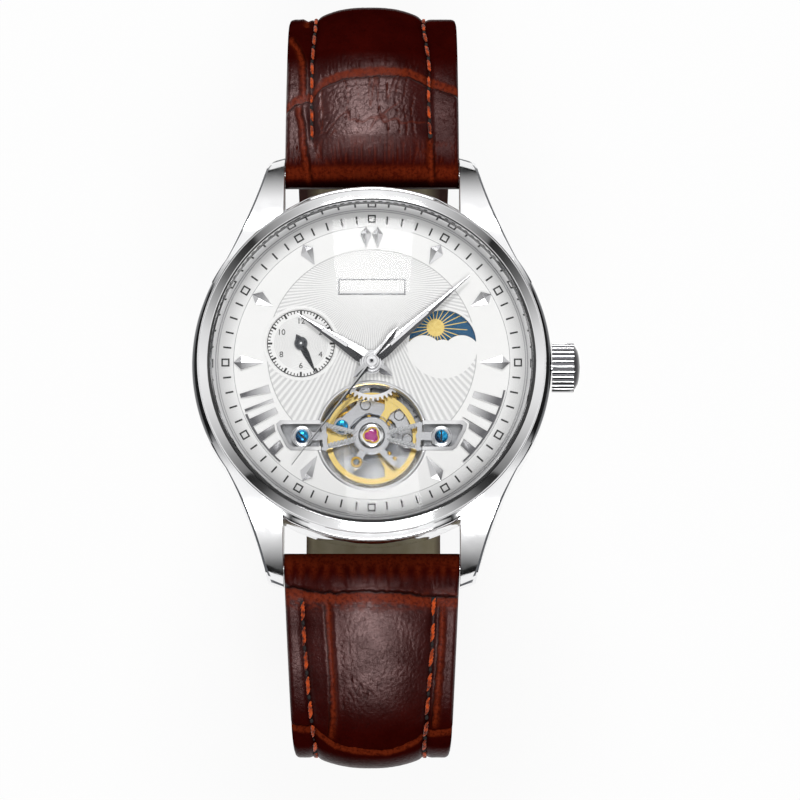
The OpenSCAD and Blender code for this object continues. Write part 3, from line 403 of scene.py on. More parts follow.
# gold print on the day and night disc, and its sky of deep petrol-blue lacquer
GOLD_INK = grained("gilt_printed_sun", ["#d2b04f", "#f2dc94"], 0.3, 0.3333, 0.35)
ENAMEL = grained("petrol_blue_lacquer", ["#094465", "#0f5680"], 0.25, 1.6667)
# cut edges of the strap, sealed with dark brown edge paint
EDGE_PAINT = grained("brown_edge_paint", ["#2a0d08"], 0.42, 1.1111, detail=3.0, depth=0.4, deep=0.08)
# needle holes: small dark beads of painted shade for the shadowed inside of a punched hole
HOLE = grained("needle_hole_painted_shade", ["#0a0303"], 0.8, 0.4, depth=0.4, deep=0.04)

# screws: tempered to a bright cornflower blue, with painted light and shade by slope: bright where a slope
# faces 12 and 3, dark on the slopes towards 6 and 9
BLUED_PAINTED_LIGHT, _here = material("heat_blued_steel_painted_light", "#1f86c4", 0.2, 0.75)
_normal = add(BLUED_PAINTED_LIGHT, "NewGeometry", out="Normal")
_slopes = [add(BLUED_PAINTED_LIGHT, "SeparateXYZ", _normal, out=k) for k in "XY"]
_painted_light_tilt = add(BLUED_PAINTED_LIGHT, "Math", *_slopes, operation="ADD")
surface(BLUED_PAINTED_LIGHT, ["#06233d", (add(BLUED_PAINTED_LIGHT, "MapRange", _painted_light_tilt, -0.45, 0.4), 1, "#22b2ec"),
                (add(BLUED_PAINTED_LIGHT, "TexNoise", _here, Scale=every(2.8571), Detail=1.0), 0.3, "#1670b4")])

# crystal: clear sapphire, coated against reflections
GLASS = material("coated_sapphire_crystal", "#fefefe")[0]
_clear = add(GLASS, "BsdfTransparent", "#fefefe")
_shine = add(GLASS, "BsdfGlossy", "#ffffff", Roughness=0.02)
end(GLASS, add(GLASS, "MixShader", add(GLASS, "Fresnel", IOR=1.2), _clear, _shine))

# facets on the shaded side, as painted shade: black near the hub of a hand to grey further out; on an index
# they run from light grey at the inner point to dark at the wide end
FACET_PAINTED_SHADE, _here = material("lapped_rhodium_facet_painted_shade", "#8a8a8c", 0.34, 0.8)
_far = far_from(FACET_PAINTED_SHADE, _here, (0, 0))[0]
_index, _hand, _inside = [add(FACET_PAINTED_SHADE, "MapRange", _far, low, high)
                          for low, high in ((13.2, 15.6), (0.8, 9.0), (12.2, 11.6))]
_hand = add(FACET_PAINTED_SHADE, "MixRGB", _hand, "#29292b", "#808083")
surface(FACET_PAINTED_SHADE, ["#c9c9ca", (_index, 1, "#4c4c4e"), (_inside, 1, _hand),
                 (add(FACET_PAINTED_SHADE, "TexNoise", _here, Scale=every(0.4)), 0.25, "#55565a")])
# applied numerals: satin, paler towards the middle of the dial and dark at the rim, a painted shade
NUMERAL_PAINTED_SHADE, _here = material("satin_rhodium_numeral_painted_shade", "#cfcfd0", 0.4, 0.6)
_far = far_from(NUMERAL_PAINTED_SHADE, _here, (0, 0))[0]
surface(NUMERAL_PAINTED_SHADE, ["#d9d9da", (add(NUMERAL_PAINTED_SHADE, "MapRange", _far, 11.6, 14.8), 1, "#505053"),
                  (add(NUMERAL_PAINTED_SHADE, "TexNoise", _here, Scale=every(0.4)), 0.2, "#8a8a8c")])

# dial: silvered brass, lacquered; rays cut into the middle, fine rings in the
# small dial, a smooth satin ring and a chapter ring with a circular grain
DIAL, _here = material("silvered_lacquered_dial", "#f0f0ee", 0.38)
_mid, _small, _window, _hub, _centre = far_from(DIAL, _here, RAY_FIELD, ZONE, WINDOW, RAY_HUB, (0, 0))
# masks, each 0 at the first distance (mm) and 1 at the second
_area, _off, _off_window, _away, _ringed, _edge, _edge_out, _chapter, _rim = [
    add(DIAL, "MapRange", far, low, high) for far, low, high in (
        (_mid, 11.82, 11.78), (_small, 4.28, 4.34), (_window, 4.02, 4.08), (_hub, 0.8, 6.5),
        (_small, 3.1, 3.0), (_mid, 11.74, 11.79), (_mid, 11.88, 11.83), (_centre, 15.58, 15.62),
        (_centre, 15.7, 17.5))]
# 156 rays spread from a point above the centre; the rings of the small dial are 0.18 mm apart
_turned = add(DIAL, "Mapping", _here, Location=(0, -RAY_HUB[1] * MM, 0))
_turned = add(DIAL, "TexGradient", _turned, out="Fac", gradient_type="RADIAL")
_saws = [add(DIAL, "Math", add(DIAL, "Math", along, many, operation="MULTIPLY"), 1.0, operation="PINGPONG")
         for along, many in ((_turned, 2 * 156.0), (_small, 11.1))]
_cut, _rings = add(DIAL, "MapRange", _saws[0], 0.25, 0.75), _saws[1]
for _mask in (_away, _area, _off, _off_window):
    _cut = add(DIAL, "Math", _cut, _mask, operation="MULTIPLY")
_rings = add(DIAL, "Math", _rings, _ringed, operation="MULTIPLY")
for _mask in (_edge_out, _off, _off_window):
    _edge = add(DIAL, "Math", _edge, _mask, operation="MULTIPLY")
_grain = add(DIAL, "TexNoise", _here, Scale=every(0.2222), Detail=2.0)
# the grey of the rays and the rings is painted shade of their cut slopes, with a real bump for their gloss;
# the rim grows darker outwards with painted shade under the rehaut
surface(DIAL, ["#f1f1f0", (_cut, 1, "#cfcfcf"), (_rings, 0.55, "#c2c2c2"), (_edge, 0.7, "#8d8d8d"),
               (_chapter, 0.5, "#dcdcdc"), (_rim, 0.8, "#a2a2a2"), (_grain, 0.12, "#bdbdbd")],
        [(_cut, 0.5, 0.04), (_rings, 0.5, 0.03), (_grain, 0.12, 0.02)])

# strap: glossy aniline calf, pressed in a large scale pattern; nearly black
# oxblood on the plates, worn red-brown in the creases
LEATHER, _here = material("embossed_oxblood_calf", "#2c0805", 0.4)
_worn, _painted_shade_mask, _buff = [add(LEATHER, "Attribute", out="Fac", attribute_name=k)
                       for k in ("crease", "shadow", "buff")]
_cloud = add(LEATHER, "TexNoise", _here, Scale=every(3.8462), Detail=4.0, Roughness=0.6)
_fine = add(LEATHER, "TexNoise", _here, Scale=every(0.3846), Detail=4.0, Roughness=0.65)
_pores = add(LEATHER, "TexVoronoi", _here, Scale=every(0.5263), feature="DISTANCE_TO_EDGE")
_red = add(LEATHER, "MixRGB", add(LEATHER, "MapRange", _fine, 0.38, 0.62), "#4c1508", "#7c2d14")
# plates buffed by hand shine on top and grow matt where the strap turns down; creases stay dull
_clear = add(LEATHER, "MapRange", _cloud, 0.1, 0.62)
_dull = add(LEATHER, "Math", _worn, _painted_shade_mask, operation="MAXIMUM")
_dull = add(LEATHER, "Math", _dull, 0.15, operation="MULTIPLY")
_rough = add(LEATHER, "MapRange", _fine, 0, 1, 0.24, 0.46)
# the shadow attribute lays painted shade, near black, in the stitch valleys, at the crease steps, under the
# fold and in the wrinkles
surface(LEATHER, ["#1a0101", (_cloud, 1, "#3d0905"), (_worn, 0.92, _red),
                  (add(LEATHER, "MapRange", _fine, 0.5, 0.7), 0.35, "#140303"), (_painted_shade_mask, 1, "#0b0202")],
        [(_fine, 0.8, 0.08), (add(LEATHER, "MapRange", _pores, 0.0, 0.12), 0.2, 0.03)],
        Specular_IOR_Level=add(LEATHER, "Math", _buff, _clear, operation="MULTIPLY", use_clamp=True),
        Roughness=add(LEATHER, "Math", _dull, _rough, operation="ADD"),
        Specular_Tint="#ffdcda")
# lining: split calf, matt beige with a napped grain, brown where it is turned at the edges
LINING, _here = material("beige_split_calf_lining", "#b5aa8e", 0.75)
_nap = add(LINING, "TexNoise", _here, Scale=every(0.7692), Detail=4.0)
_drawn = add(LINING, "TexNoise", add(LINING, "Mapping", _here, Scale=(1.0, 0.12, 0.12)), Scale=every(2.0))
surface(LINING, ["#8f8465", (_drawn, 1, "#cfc6ae"), (_nap, 0.35, "#7d7355"),
                 (add(LINING, "Attribute", out="Fac", attribute_name="crease"), 1, "#3a1610")],
        [(_nap, 0.4, 0.08)], Sheen_Weight=0.2)
# waxed orange-brown thread, mottled from dark brown to orange along a fine grain
THREAD, _here = material("waxed_orange_linen_thread", "#d0561c", 0.55)
_lay = add(THREAD, "TexNoise", _here, Scale=every(0.6667), Detail=3.0)
surface(THREAD, ["#4a1205", (add(THREAD, "MapRange", _lay, 0.35, 0.62), 1, "#c94d10")], [(_lay, 0.5, 0.04)],
        Sheen_Weight=0.3, Specular_IOR_Level=0.1)


# ---- strap: its line, seen from the side ----
LUG_Y, LUG_Z, LUG_GAP, END_W = 22.7, 4.4, 20.0, 16.0
# fold round the spring bar, lining, and how far the long half's tail lies over the short one
FOLD_R, LINING_T, TAIL_LIFT = 1.65, 0.8, 2.7
# lengths from the spring bar at which the leather and its lining begin
SKIN_FROM, LINING_FROM = -1.62, 1.6
# radii of its four arcs (the last follows from the others), and the heading where each begins
ARC_R = [44, 8.5, 20, 0]
ARC_H = [-5, -25, -95, -155, -180]
CORNERS = [(LUG_Y, LUG_Z)]


def arc_step(r, a, b):
    """How far an arc goes along y and z between two headings in degrees."""
    a, b = math.radians(a), math.radians(b)
    return r * (sin(a) - sin(b)), r * (cos(b) - cos(a))


for _i in range(3):
    _s = arc_step(ARC_R[_i], ARC_H[_i], ARC_H[_i + 1])
    CORNERS.append((CORNERS[-1][0] + _s[0], CORNERS[-1][1] + _s[1]))
ARC_R[3] = CORNERS[3][0] / sin(math.radians(180 + ARC_H[3]))
LENGTHS = [ARC_R[i] * math.radians(ARC_H[i] - ARC_H[i + 1]) for i in range(4)]
STARTS = [0, LENGTHS[0], LENGTHS[0] + LENGTHS[1], sum(LENGTHS[:3])]
HALF = sum(LENGTHS)
SHORT, LONG = HALF - 2.5, HALF + 36.6


def station(s):
    """Point of the strap's line at length s, and its outward direction."""
    t = s if s <= HALF else 2 * HALF - s
    if t <= 0:
        h = math.radians(ARC_H[0])
        y, z = LUG_Y + t * cos(h), LUG_Z + t * sin(h)
    else:
        i = max(k for k in range(4) if t >= STARTS[k])
        a = ARC_H[i] - math.degrees((t - STARTS[i]) / ARC_R[i])
        dy, dz = arc_step(ARC_R[i], ARC_H[i], a)
        y, z, h = CORNERS[i][0] + dy, CORNERS[i][1] + dz, math.radians(a)
    if s <= HALF:
        return y, z, -sin(h), cos(h)
    return -y, z, sin(h), cos(h)


def width(s, low):
    """Width of the strap; the lower half narrows sooner."""
    by, power = (45, 1) if low else (75, 1.8)
    return LUG_GAP - 0.1 - (LUG_GAP - 0.1 - END_W) * min(1, max(0, s) / by) ** power


def tip(s):
    """Share of its width that the long half keeps at its rounded end."""
    return 1 if s < LONG - 5 else math.sqrt(max(0.03, 1 - ((s - LONG + 5) / 5.05) ** 2))


def fold(s):
    """Half the thickness of the fold round the spring bar, at a length before it."""
    return math.sqrt(max(0.0004, FOLD_R ** 2 - min(0, s) ** 2))


def inner(s):
    """Height of the leather's inner face over the strap's line."""
    return -fold(s) if s < 0 else -FOLD_R + 0.85 * ease(s / 2) + 0.3 * ease((s - 3) / 12)


def edge_n(s):
    """Height of the leather's outer face at its edges."""
    return fold(s) if s < 0 else FOLD_R - 0.35 * ease(s / 3) - 0.3 * ease((s - 3) / 20)


def shift(s, low):
    """How far the long half's tail has risen to lie over the short half."""
    return TAIL_LIFT * ease((s - HALF + 6.5) / 9) if low else 0.0


def soft(t):
    """The same easing as ease(), for whole rows of numbers."""
    u = np.clip(t, 0, 1)
    return u * u * (3 - 2 * u)


def bump_at(d, w):
    """1 where d is 0, fading over a width w."""
    return np.exp(-(d / w) ** 2)


def wander(x, s, fx, fs, seed):
    """Smooth random field over the strap, stretched along or across it."""
    return np.array([noise.noise((a * fx, b * fs, seed)) for a, b in zip(x, s)])


def line(points, by=0):
    """A drawn line as a function: s along x (by=0) or x along s (by=1)."""
    pts = sorted(points, key=lambda p: p[by])
    return lambda v: np.interp(v, [p[by] for p in pts], [p[1 - by] for p in pts])


# where the creases and the stitching run, mm across and along each half
TOP = {
    "cross": [([(-10, 7.0), (-8.75, 8.2), (-6.92, 8.7), (-5.78, 10.1), (-3.14, 10.85), (0.97, 11.2),
                (4.34, 11.2), (6.64, 10.5), (10, 9.2)], 1.15),
              ([(-10, 34), (-4, 35.2), (3, 34.6), (10, 33.4)], 0.9),
              ([(-10, 48), (-3, 46.6), (4, 47.4), (10, 48.6)], 0.9),
              ([(-10, 61), (-2, 62), (5, 61.2), (10, 60)], 0.9)],
    "along": [([(-9.5, 17.6), (-9.31, 16.7), (-8.59, 15.45), (-8.11, 13.8), (-7.98, 11.5), (-7.9, 9.0)],
               (8.8, 17.6)),
              ([(-8.39, 6.85), (-8.04, 5.65), (-7.79, 2.3), (-7.2, -1.6)], (-1.7, 8.3)),
              ([(6.6, 3.95), (6.68, 1.15), (6.79, -1.6)], (-1.7, 4.4)),
              ([(-7.6, 20), (-7.2, 34)], (19, 34.4)), ([(7.2, 36), (6.8, 47)], (36, 47.4)),
              ([(-6.9, 49), (-6.5, 60)], (48, 61))],
    "stitch": [[(-6.3, 76), (-6.64, 19.05), (-6.96, 13.5), (-6.97, 8.35), (-6.88, 4.0)],
               [(6.2, 76), (5.92, 19.05), (6.53, 13.5), (6.46, 8.35), (6.62, 4.4)]],
    "pitch": 2.05,
}
LOW = {
    "cross": [([(-10, 2.0), (-8.09, 2.3), (-6.4, 2.65), (-3.58, 2.75), (-0.19, 2.55), (3.19, 2.75),
                (6.57, 3.2), (10, 3.25)], 1.25),
              ([(-8.72, 17.85), (-7.02, 18.1), (-6.12, 18.35), (-4.2, 19.65), (-1.36, 20.05), (2.05, 20.35),
                (4.89, 19.5), (6.37, 18.7), (8.3, 18.45)], 0.9),
              ([(-9, 33), (-3, 34.4), (4, 34), (9, 32.8)], 0.9),
              ([(-9, 47), (-2, 46), (4, 46.8), (9, 48)], 0.9),
              ([(-9, 60.5), (2, 61.6), (9, 60)], 0.9), ([(-9, 75), (-1, 74), (9, 75.4)], 0.9),
              ([(-9, 89), (2, 90), (9, 88.6)], 0.9), ([(-9, 102), (0, 101), (9, 102.4)], 0.9)],
    "along": [([(-5.3, 3.4), (-4.93, 4.05), (-4.71, 7.85), (-4.38, 12.3), (-4.34, 16.15), (-4.64, 19.0)],
               (3.4, 19.2)),
              ([(8.04, 3.9), (7.82, 8.95), (7.49, 13.4), (7.16, 17.75)], (3.6, 18.4)),
              ([(-5.2, 35), (-4.8, 46)], (34.6, 46.6)), ([(5.0, 48), (4.6, 60)], (47.4, 60.6)),
              ([(-5, 62), (-4.6, 74)], (61.6, 74)), ([(4.8, 76), (5, 88)], (75, 89)),
              ([(-4.9, 90), (-4.5, 101)], (90, 101.4))],
    "stitch": [[(-6.4, 112), (-6.3, 45), (-6.5, 21.05), (-7.21, 13.4), (-7.65, 7.85), (-7.83, 4.0)],
               [(6.4, 112), (6.2, 45), (5.95, 21.2), (6.36, 14.55), (6.8, 8.95), (7.0, 3.6)]],
    "pitch": 2.8,
}


def top_wrinkles(x, s):
    """Fine relief of the upper half near the case: change of height, wear and painted shade. A wrinkle
    is a valley darkened with painted shade where a smooth random field crosses zero."""
    dz, wn, painted_dark = np.zeros_like(x), np.zeros_like(x), np.zeros_like(x)
    # a net of wrinkles on the padded plate, with slanting ones near the case
    d = s - line(TOP["cross"][0][0])(x)
    pad = soft((6.6 - np.abs(x)) / 0.8)
    net = soft(-d / 0.3) * soft((s - 3.2) / 1.6) * pad
    w1 = wander(x + 0.5 * wander(x, s, 0.35, 0.3, 2.0), s, 0.95, 0.13, 6.4)
    deep = bump_at(w1, 0.07) * soft(wander(x, s, 0.3, 0.3, 41.0) * 2.5 + 0.75)
    w2 = wander(x - 0.55 * s, s, 0.55, 0.18, 16.0)
    slant = bump_at(w2, 0.022) * soft((s - 3.8) / 1.0) * soft((8.6 - s) / 1.5)
    dz -= 0.11 * net * deep + 0.08 * net * slant
    wn = np.maximum(wn, 0.75 * net * np.maximum(bump_at(w1, 0.025), 0.7 * slant))
    painted_dark = np.maximum(painted_dark, 0.6 * net * bump_at(w1, 0.012))
    w3 = wander(x, s, 1.5, 1.0, 21.0)
    dz -= 0.06 * net * bump_at(w3, 0.06)
    # short lines side by side between the fold and the plate
    comb = soft((4.2 - s) / 1.6) * soft((s - 0.2) / 0.7)
    w4 = wander(x, s, 2.1, 0.30, 11.0)
    dz += 0.10 * comb * np.abs(w4) - 0.05 * comb * bump_at(w4, 0.08)
    wn = np.maximum(wn, 0.35 * comb * bump_at(w4, 0.1))
    # ticks behind the first crease
    ticks = soft((d - 0.9) / 0.3) * soft((3.4 - d) / 1.4) * pad
    w5 = wander(x, s, 1.2, 0.16, 14.0)
    dz -= 0.08 * ticks * bump_at(w5, 0.06)
    # the fold itself is streaked and worn, the worn red on its top partly a painted highlight, and painted
    # shade darkens it underneath
    roll = soft((0.9 - s) / 0.8)
    streak = 0.5 + 0.5 * wander(x, s, 4.5, 0.25, 17.0)
    wn = np.maximum(wn, roll * (0.35 + 0.6 * streak) * soft((s + 1.5) / 1.0))
    painted_dark = np.maximum(painted_dark, 0.75 * soft((-0.75 - s) / 0.6))
    flats = soft((np.abs(x) - 7.2) / 0.5)
    dz -= 0.05 * flats * bump_at(wander(x, s, 1.5, 0.8, 31.0), 0.06)
    return dz, wn, painted_dark


def low_wrinkles(x, s):
    """The same for the lower half."""
    dz, wn, painted_dark = np.zeros_like(x), np.zeros_like(x), np.zeros_like(x)
    # pleats where the leather folds round the spring bar
    pleat = soft((2.6 - s) / 0.8) * soft((s + 1.2) / 0.8)
    phase = 2 * pi * x / 1.45 + 2.2 * wander(x, s, 0.35, 0.2, 1.2)
    dz += 0.15 * pleat * (np.cos(phase) * 0.5 + 0.5) * (0.6 + 0.8 * wander(x, s, 0.9, 0.1, 5.0))
    wn = np.maximum(wn, 0.55 * soft((2.0 - s) / 2.2) * (0.5 - 0.5 * np.cos(phase)))
    wn = np.maximum(wn, 0.5 * soft((0.5 - s) / 1.2))
    # crumpled band behind the first crease
    rough = bump_at(s - 3.6, 0.9)
    w1 = wander(x, s, 0.8, 2.2, 9.0)
    dz -= 0.10 * rough * bump_at(w1, 0.07)
    wn = np.maximum(wn, 0.75 * rough * soft((wander(x, s, 1.4, 2.8, 4.0) + 0.3) / 0.5))
    # long fine wrinkles on the first plate, darkened with painted shade
    tile = soft((x + 4.0) / 0.8) * soft((6.4 - x) / 0.8) * soft((s - 4.4) / 1.2) * soft((17.8 - s) / 1.5)
    left = soft((2.6 - x) / 3.0)
    w2 = wander(x + 0.35 * wander(x, s, 0.5, 0.5, 2.0), s, 1.15, 0.22, 6.0)
    lines = bump_at(w2, 0.035) * soft(wander(x, s, 0.5, 0.35, 8.0) * 3 + 0.5)
    dz -= 0.085 * tile * left * lines
    painted_dark = np.maximum(painted_dark, 0.5 * tile * left * lines)
    w3 = wander(x, s, 2.2, 0.5, 12.0)
    dz -= 0.03 * tile * bump_at(w3, 0.05)
    return dz, wn, painted_dark


def relief(x, s, low):
    """Height over the strap's edge line, how worn it is, and how dark its painted shade is."""
    plan = LOW if low else TOP
    xl, xr = [line(points, 1)(s) for points in plan["stitch"]]
    # padded between the rows of stitches, most of all near the case
    t = np.clip((x - xl) / (xr - xl), 0, 1)
    crown = 1 - np.abs(2 * t - 1) ** (2.3 if low else 2.6)
    rise = 1.42 * soft((s + 0.2) / (3.2 if low else 4.5)) * (1 - soft((s - 22) / 16))
    z = rise * crown + 0.05
    if low:
        z -= 0.30 * soft((s - 15) / 8) * (1 - soft((s - 30) / 8))
    worn, dark = np.zeros_like(x), np.zeros_like(x)
    # a valley along each row of stitches, darkened with painted shade
    seam = soft((s - 3.2) / 1.2)
    for xs in (xl, xr):
        z -= 0.26 * seam * bump_at(x - xs, 0.42)
        dark = np.maximum(dark, 0.75 * seam * bump_at(x - xs, 0.3))
    ragged = 0.16 * wander(x, s, 1.3, 1.3, 3.1) + 0.08 * wander(x, s, 3.5, 3.5, 7.7)
    # creases across: a step down, with a rolled edge before it and a line of painted shadow at the step
    for points, wide in plan["cross"]:
        d = s - line(points)(x) + ragged
        z -= 0.36 * soft((d + 0.22) / 0.22) * (1 - soft(d / (wide * 1.5)))
        z += 0.07 * bump_at(d + 0.5, 0.35)
        z -= 0.10 * np.exp(-np.abs(d) / 0.9)
        worn = np.maximum(worn, soft((d - 0.02) / 0.15) * (1 - soft((d - wide * 0.75) / 0.35)))
        dark = np.maximum(dark, 0.95 * bump_at(d + 0.02, 0.13))
    # creases along: grooves between two low ridges, with a line of painted shadow along one side
    for points, (s0, s1) in plan["along"]:
        inside = soft((s - s0) / 0.8) * soft((s1 - s) / 0.8)
        d = x - line(points, 1)(s) + ragged * 0.7
        z -= 0.24 * inside * bump_at(d, 0.34)
        z += 0.06 * inside * bump_at(np.abs(d) - 0.62, 0.25)
        worn = np.maximum(worn, inside * bump_at(d, 0.36))
        dark = np.maximum(dark, 0.8 * inside * bump_at(d + (0.42 if low else -0.42), 0.11))
    # fine wrinkles near the case
    near = np.nonzero(s < 32)[0]
    xn, sn = x[near], s[near]
    dz, wn, painted_dark = (low_wrinkles if low else top_wrinkles)(xn, sn)
    z[near] += dz + 0.022 * wander(xn, sn, 3.0, 3.0, 19.0) + 0.010 * wander(xn, sn, 6.5, 6.5, 23.0)
    worn[near] = np.maximum(worn[near], wn)
    dark[near] = np.maximum(dark[near], painted_dark)
    z[s < 0] -= 0.05
    return z, np.clip(worn, 0, 1), np.clip(dark, 0, 1)


def shine(x, s, low):
    """Where the leather is buffed to a shine: the plates next to the case, less at their sides."""
    far = 0.35 * soft((s - 21) / 8)
    if low:
        return far + soft((s - 0.3) / 4) * (1 - soft((s - 10.5) / 7.5)) * (0.5 + 0.5 * bump_at(x + 0.3, 2.8))
    return far + soft((s - 0.3) / 4) * (1 - soft((s - 8.5) / 6)) * (1 - 0.7 * soft((x - 1) / 4))


def rows_of(first, last, fine_to=29.5, fine=0.13, coarse=0.5):
    """Lengths at which the strap is shaped: close together near the case."""
    rows = [first * cos(pi * i / 18) for i in range(8)] if first < 0 else []
    s = 0.0 if first < 0 else first
    while s < last:
        rows.append(s)
        s += fine if s < fine_to else coarse
    return rows + [last]


def tube(name, rows, side, low, outside, bottom, columns, mats):
    """A strip with a shaped outside, rounded edges and a flat inside."""
    ring = [("t", -1 + 2 * i / columns) for i in range(columns + 1)]
    ring += [("r", j / 4) for j in (1, 2, 3)]
    ring += [("b", 1 - 2 * i / 20) for i in range(21)]
    ring += [("l", j / 4) for j in (3, 2, 1)]
    n, m = len(ring), len(rows)
    bm = bmesh.new()
    bmesh.ops.create_cone(bm, cap_ends=True, segments=n, radius1=1, radius2=1, depth=2)
    tall = [e for e in bm.edges if abs(e.verts[0].co.z - e.verts[1].co.z) > 1]
    bmesh.ops.subdivide_edges(bm, edges=tall, cuts=m - 2, use_grid_fill=True)
    bm.verts.ensure_lookup_table()
    # where each vertex is: its place in the ring, and its row
    ks = [round(math.atan2(v.co.x, v.co.y) / (2 * pi / n)) % n for v in bm.verts]
    rs = [round((v.co.z + 1) / 2 * (m - 1)) for v in bm.verts]
    lines = [station(s) for s in rows]
    half = [width(s, low) / 2 * (tip(s) if low else 1) for s in rows]
    # the outside is shaped all at once
    ups = [i for i, k in enumerate(ks) if ring[k][0] == "t"]
    xs = np.array([half[rs[i]] * ring[ks[i]][1] for i in ups])
    ss = np.array([rows[rs[i]] for i in ups])
    z, worn, dark = outside(xs, ss)
    hs = np.array([half[rs[i]] for i in ups])
    # it lies over the leather's edge line, or for the lining against the leather, and its edges
    # are rounded off, the leather's more than the lining's
    edge, round_r = (edge_n, 0.6) if bottom is inner else (inner, 0.12)
    base = np.array([edge(s) + shift(s, low) for s in ss])
    d = np.clip(round_r - (hs - np.abs(xs)), 0, round_r)
    z = base + z - (round_r - np.sqrt(np.maximum(round_r ** 2 - d ** 2, 0)))
    top = {i: j for j, i in enumerate(ups)}
    edge_top = {(rs[i], ring[ks[i]][1]): z[j] for j, i in enumerate(ups) if abs(ring[ks[i]][1]) == 1}
    crease, shadow, buff = [bm.verts.layers.float.new(k) for k in ("crease", "shadow", "buff")]
    for i, v in enumerate(bm.verts):
        kind, u = ring[ks[i]]
        r = rs[i]
        floor_n = bottom(rows[r]) + shift(rows[r], low)
        if kind == "t":
            x, h = xs[top[i]], max(z[top[i]], floor_n + 0.02)
            v[crease], v[shadow] = float(worn[top[i]]), float(dark[top[i]])
            v[buff] = float(shine(x, rows[r], low)) * (1 - 0.6 * v[crease])
        elif kind == "b":
            x, h = half[r] * u, floor_n
        else:
            sgn = 1.0 if kind == "r" else -1.0
            x, h = half[r] * sgn, edge_top[(r, sgn)] + (floor_n - edge_top[(r, sgn)]) * u
        y0, z0, ny, nz = lines[r]
        v.co = Vector((x * MM, side * (y0 + h * ny) * MM, (z0 + h * nz) * MM))
    if len(mats) > 1:
        for f in bm.faces:
            if sum(ring[ks[v.index]][0] != "t" for v in f.verts) >= 2:
                f.material_index = 1
    return to_object(name, bm, mats, smooth=60)


def lining(name, first, last, side, low):
    """The inner layer: flat against the leather, with its grain side inwards."""
    obj = tube(name, rows_of(first, last, 0, 0.5, 0.5), side, low, lambda x, s: (np.zeros_like(x),) * 3,
               lambda s: inner(s) - LINING_T, 24, [LINING])
    turned_edge = width(HALF * 0.5, low) / 2 - (0.9 if low else 2.7)
    obj.data.attributes["crease"].data.foreach_set(
        "value", [ease((abs(v.co.x) / MM - turned_edge) / 0.9) for v in obj.data.vertices])
    return obj


def cut(obj, bm):
    """Takes a cutting shape out of an object."""
    tool = to_object(obj.name + "_cutter", bm, body=None)
    mod = obj.modifiers.new("cut", "BOOLEAN")
    mod.operation, mod.object, mod.solver = "DIFFERENCE", tool, "MANIFOLD"
    held = obj.evaluated_get(bpy.context.evaluated_depsgraph_get())
    mesh = bpy.data.meshes.new_from_object(held, preserve_all_data_layers=True,
                                           depsgraph=bpy.context.evaluated_depsgraph_get())
    obj.modifiers.clear()
    obj.data = mesh
    bpy.data.objects.remove(tool)


def upright(s, n, side=1):
    """A frame on the strap: X across, Y along it away from the case, Z outwards."""
    y, z, ny, nz = station(s)
    m = Matrix.Identity(4)
    m.col[0][:3], m.col[1][:3], m.col[2][:3] = (side, 0, 0), (0, side * nz, -ny), (0, side * ny, nz)
    m.col[3][:3] = (0, side * (y + n * ny) * MM, (z + n * nz) * MM)
    return m


def bead(bm, m, size, rings=6):
    """A small flattened ball of three half sizes (mm)."""
    bmesh.ops.create_uvsphere(bm, u_segments=8, v_segments=rings, radius=1,
                              matrix=m @ Matrix.Diagonal([k * MM for k in size] + [1]))


def stitches(name, side, low, last):
    """Twisted thread, one short stitch after another, sunk in its valley."""
    plan = LOW if low else TOP
    bm, holes = bmesh.new(), bmesh.new()
    for points in plan["stitch"]:
        first = min(p[1] for p in points)
        s = first + 0.75
        while s < last:
            x = float(line(points, 1)(s))
            x2 = float(line(points, 1)(s + 0.5))
            z = relief(np.array([x]), np.array([s]), low)[0]
            n = edge_n(s) + shift(s, low) + float(z[0]) + 0.1
            long_r = plan["pitch"] * 0.36
            lean = math.atan2(x2 - x, 0.5)
            m = upright(s, n, side) @ Matrix.Translation((side * x * MM, 0, 0))
            m = m @ Matrix.Rotation(-lean * side, 4, "Z")
            for q in (-1.5, -0.5, 0.5, 1.5):
                bead(bm, m @ Matrix.Translation((0, q * 0.42 * long_r * MM, (0.1 - 0.05 * q * q) * MM)) @
                     Matrix.Rotation(0.42 * side, 4, "Z"), (0.165, 0.52 * long_r, 0.17), 5)
            # a small dark bead of painted shade in each needle hole, and a larger one before the first stitch
            bead(holes, m @ Matrix.Translation((0, plan["pitch"] * MM / 2, -0.1 * MM)), (0.22, 0.3, 0.1))
            if s == first + 0.75:
                bead(holes, m @ Matrix.Translation((0, -0.85 * MM, -0.06 * MM)), (0.38, 0.4, 0.14))
            s += plan["pitch"]
    to_object(name, bm, [THREAD], smooth=80)
    to_object(name + "_holes", holes, [HOLE], smooth=80)


HALVES = (("top", 1, False, SHORT), ("bottom", -1, True, LONG - 0.6))
SKINS, LININGS = [], []
for _half, _side, _low, _last in HALVES:
    SKINS.append(tube("strap_" + _half + "_leather", rows_of(SKIN_FROM, _last), _side, _low,
                      lambda x, s: relief(x, s, _low), inner, 150, [LEATHER, EDGE_PAINT]))
    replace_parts(SKINS[-1], "strap_" + _half)
for _half, _side, _low, _last in HALVES:
    LININGS.append(lining("strap_" + _half + "_lining_calf", LINING_FROM, _last, _side, _low))
    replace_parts(LININGS[-1], "strap_" + _half + "_lining")
stitches("strap_top_stitching", 1, False, SHORT - 3)
stitches("strap_bottom_stitching", -1, True, LONG - 9)
HINGE = station(HALF - 4)[:2]
Z_LOW, HOLE_PITCH = station(HALF)[1] - 4.2, 6.2
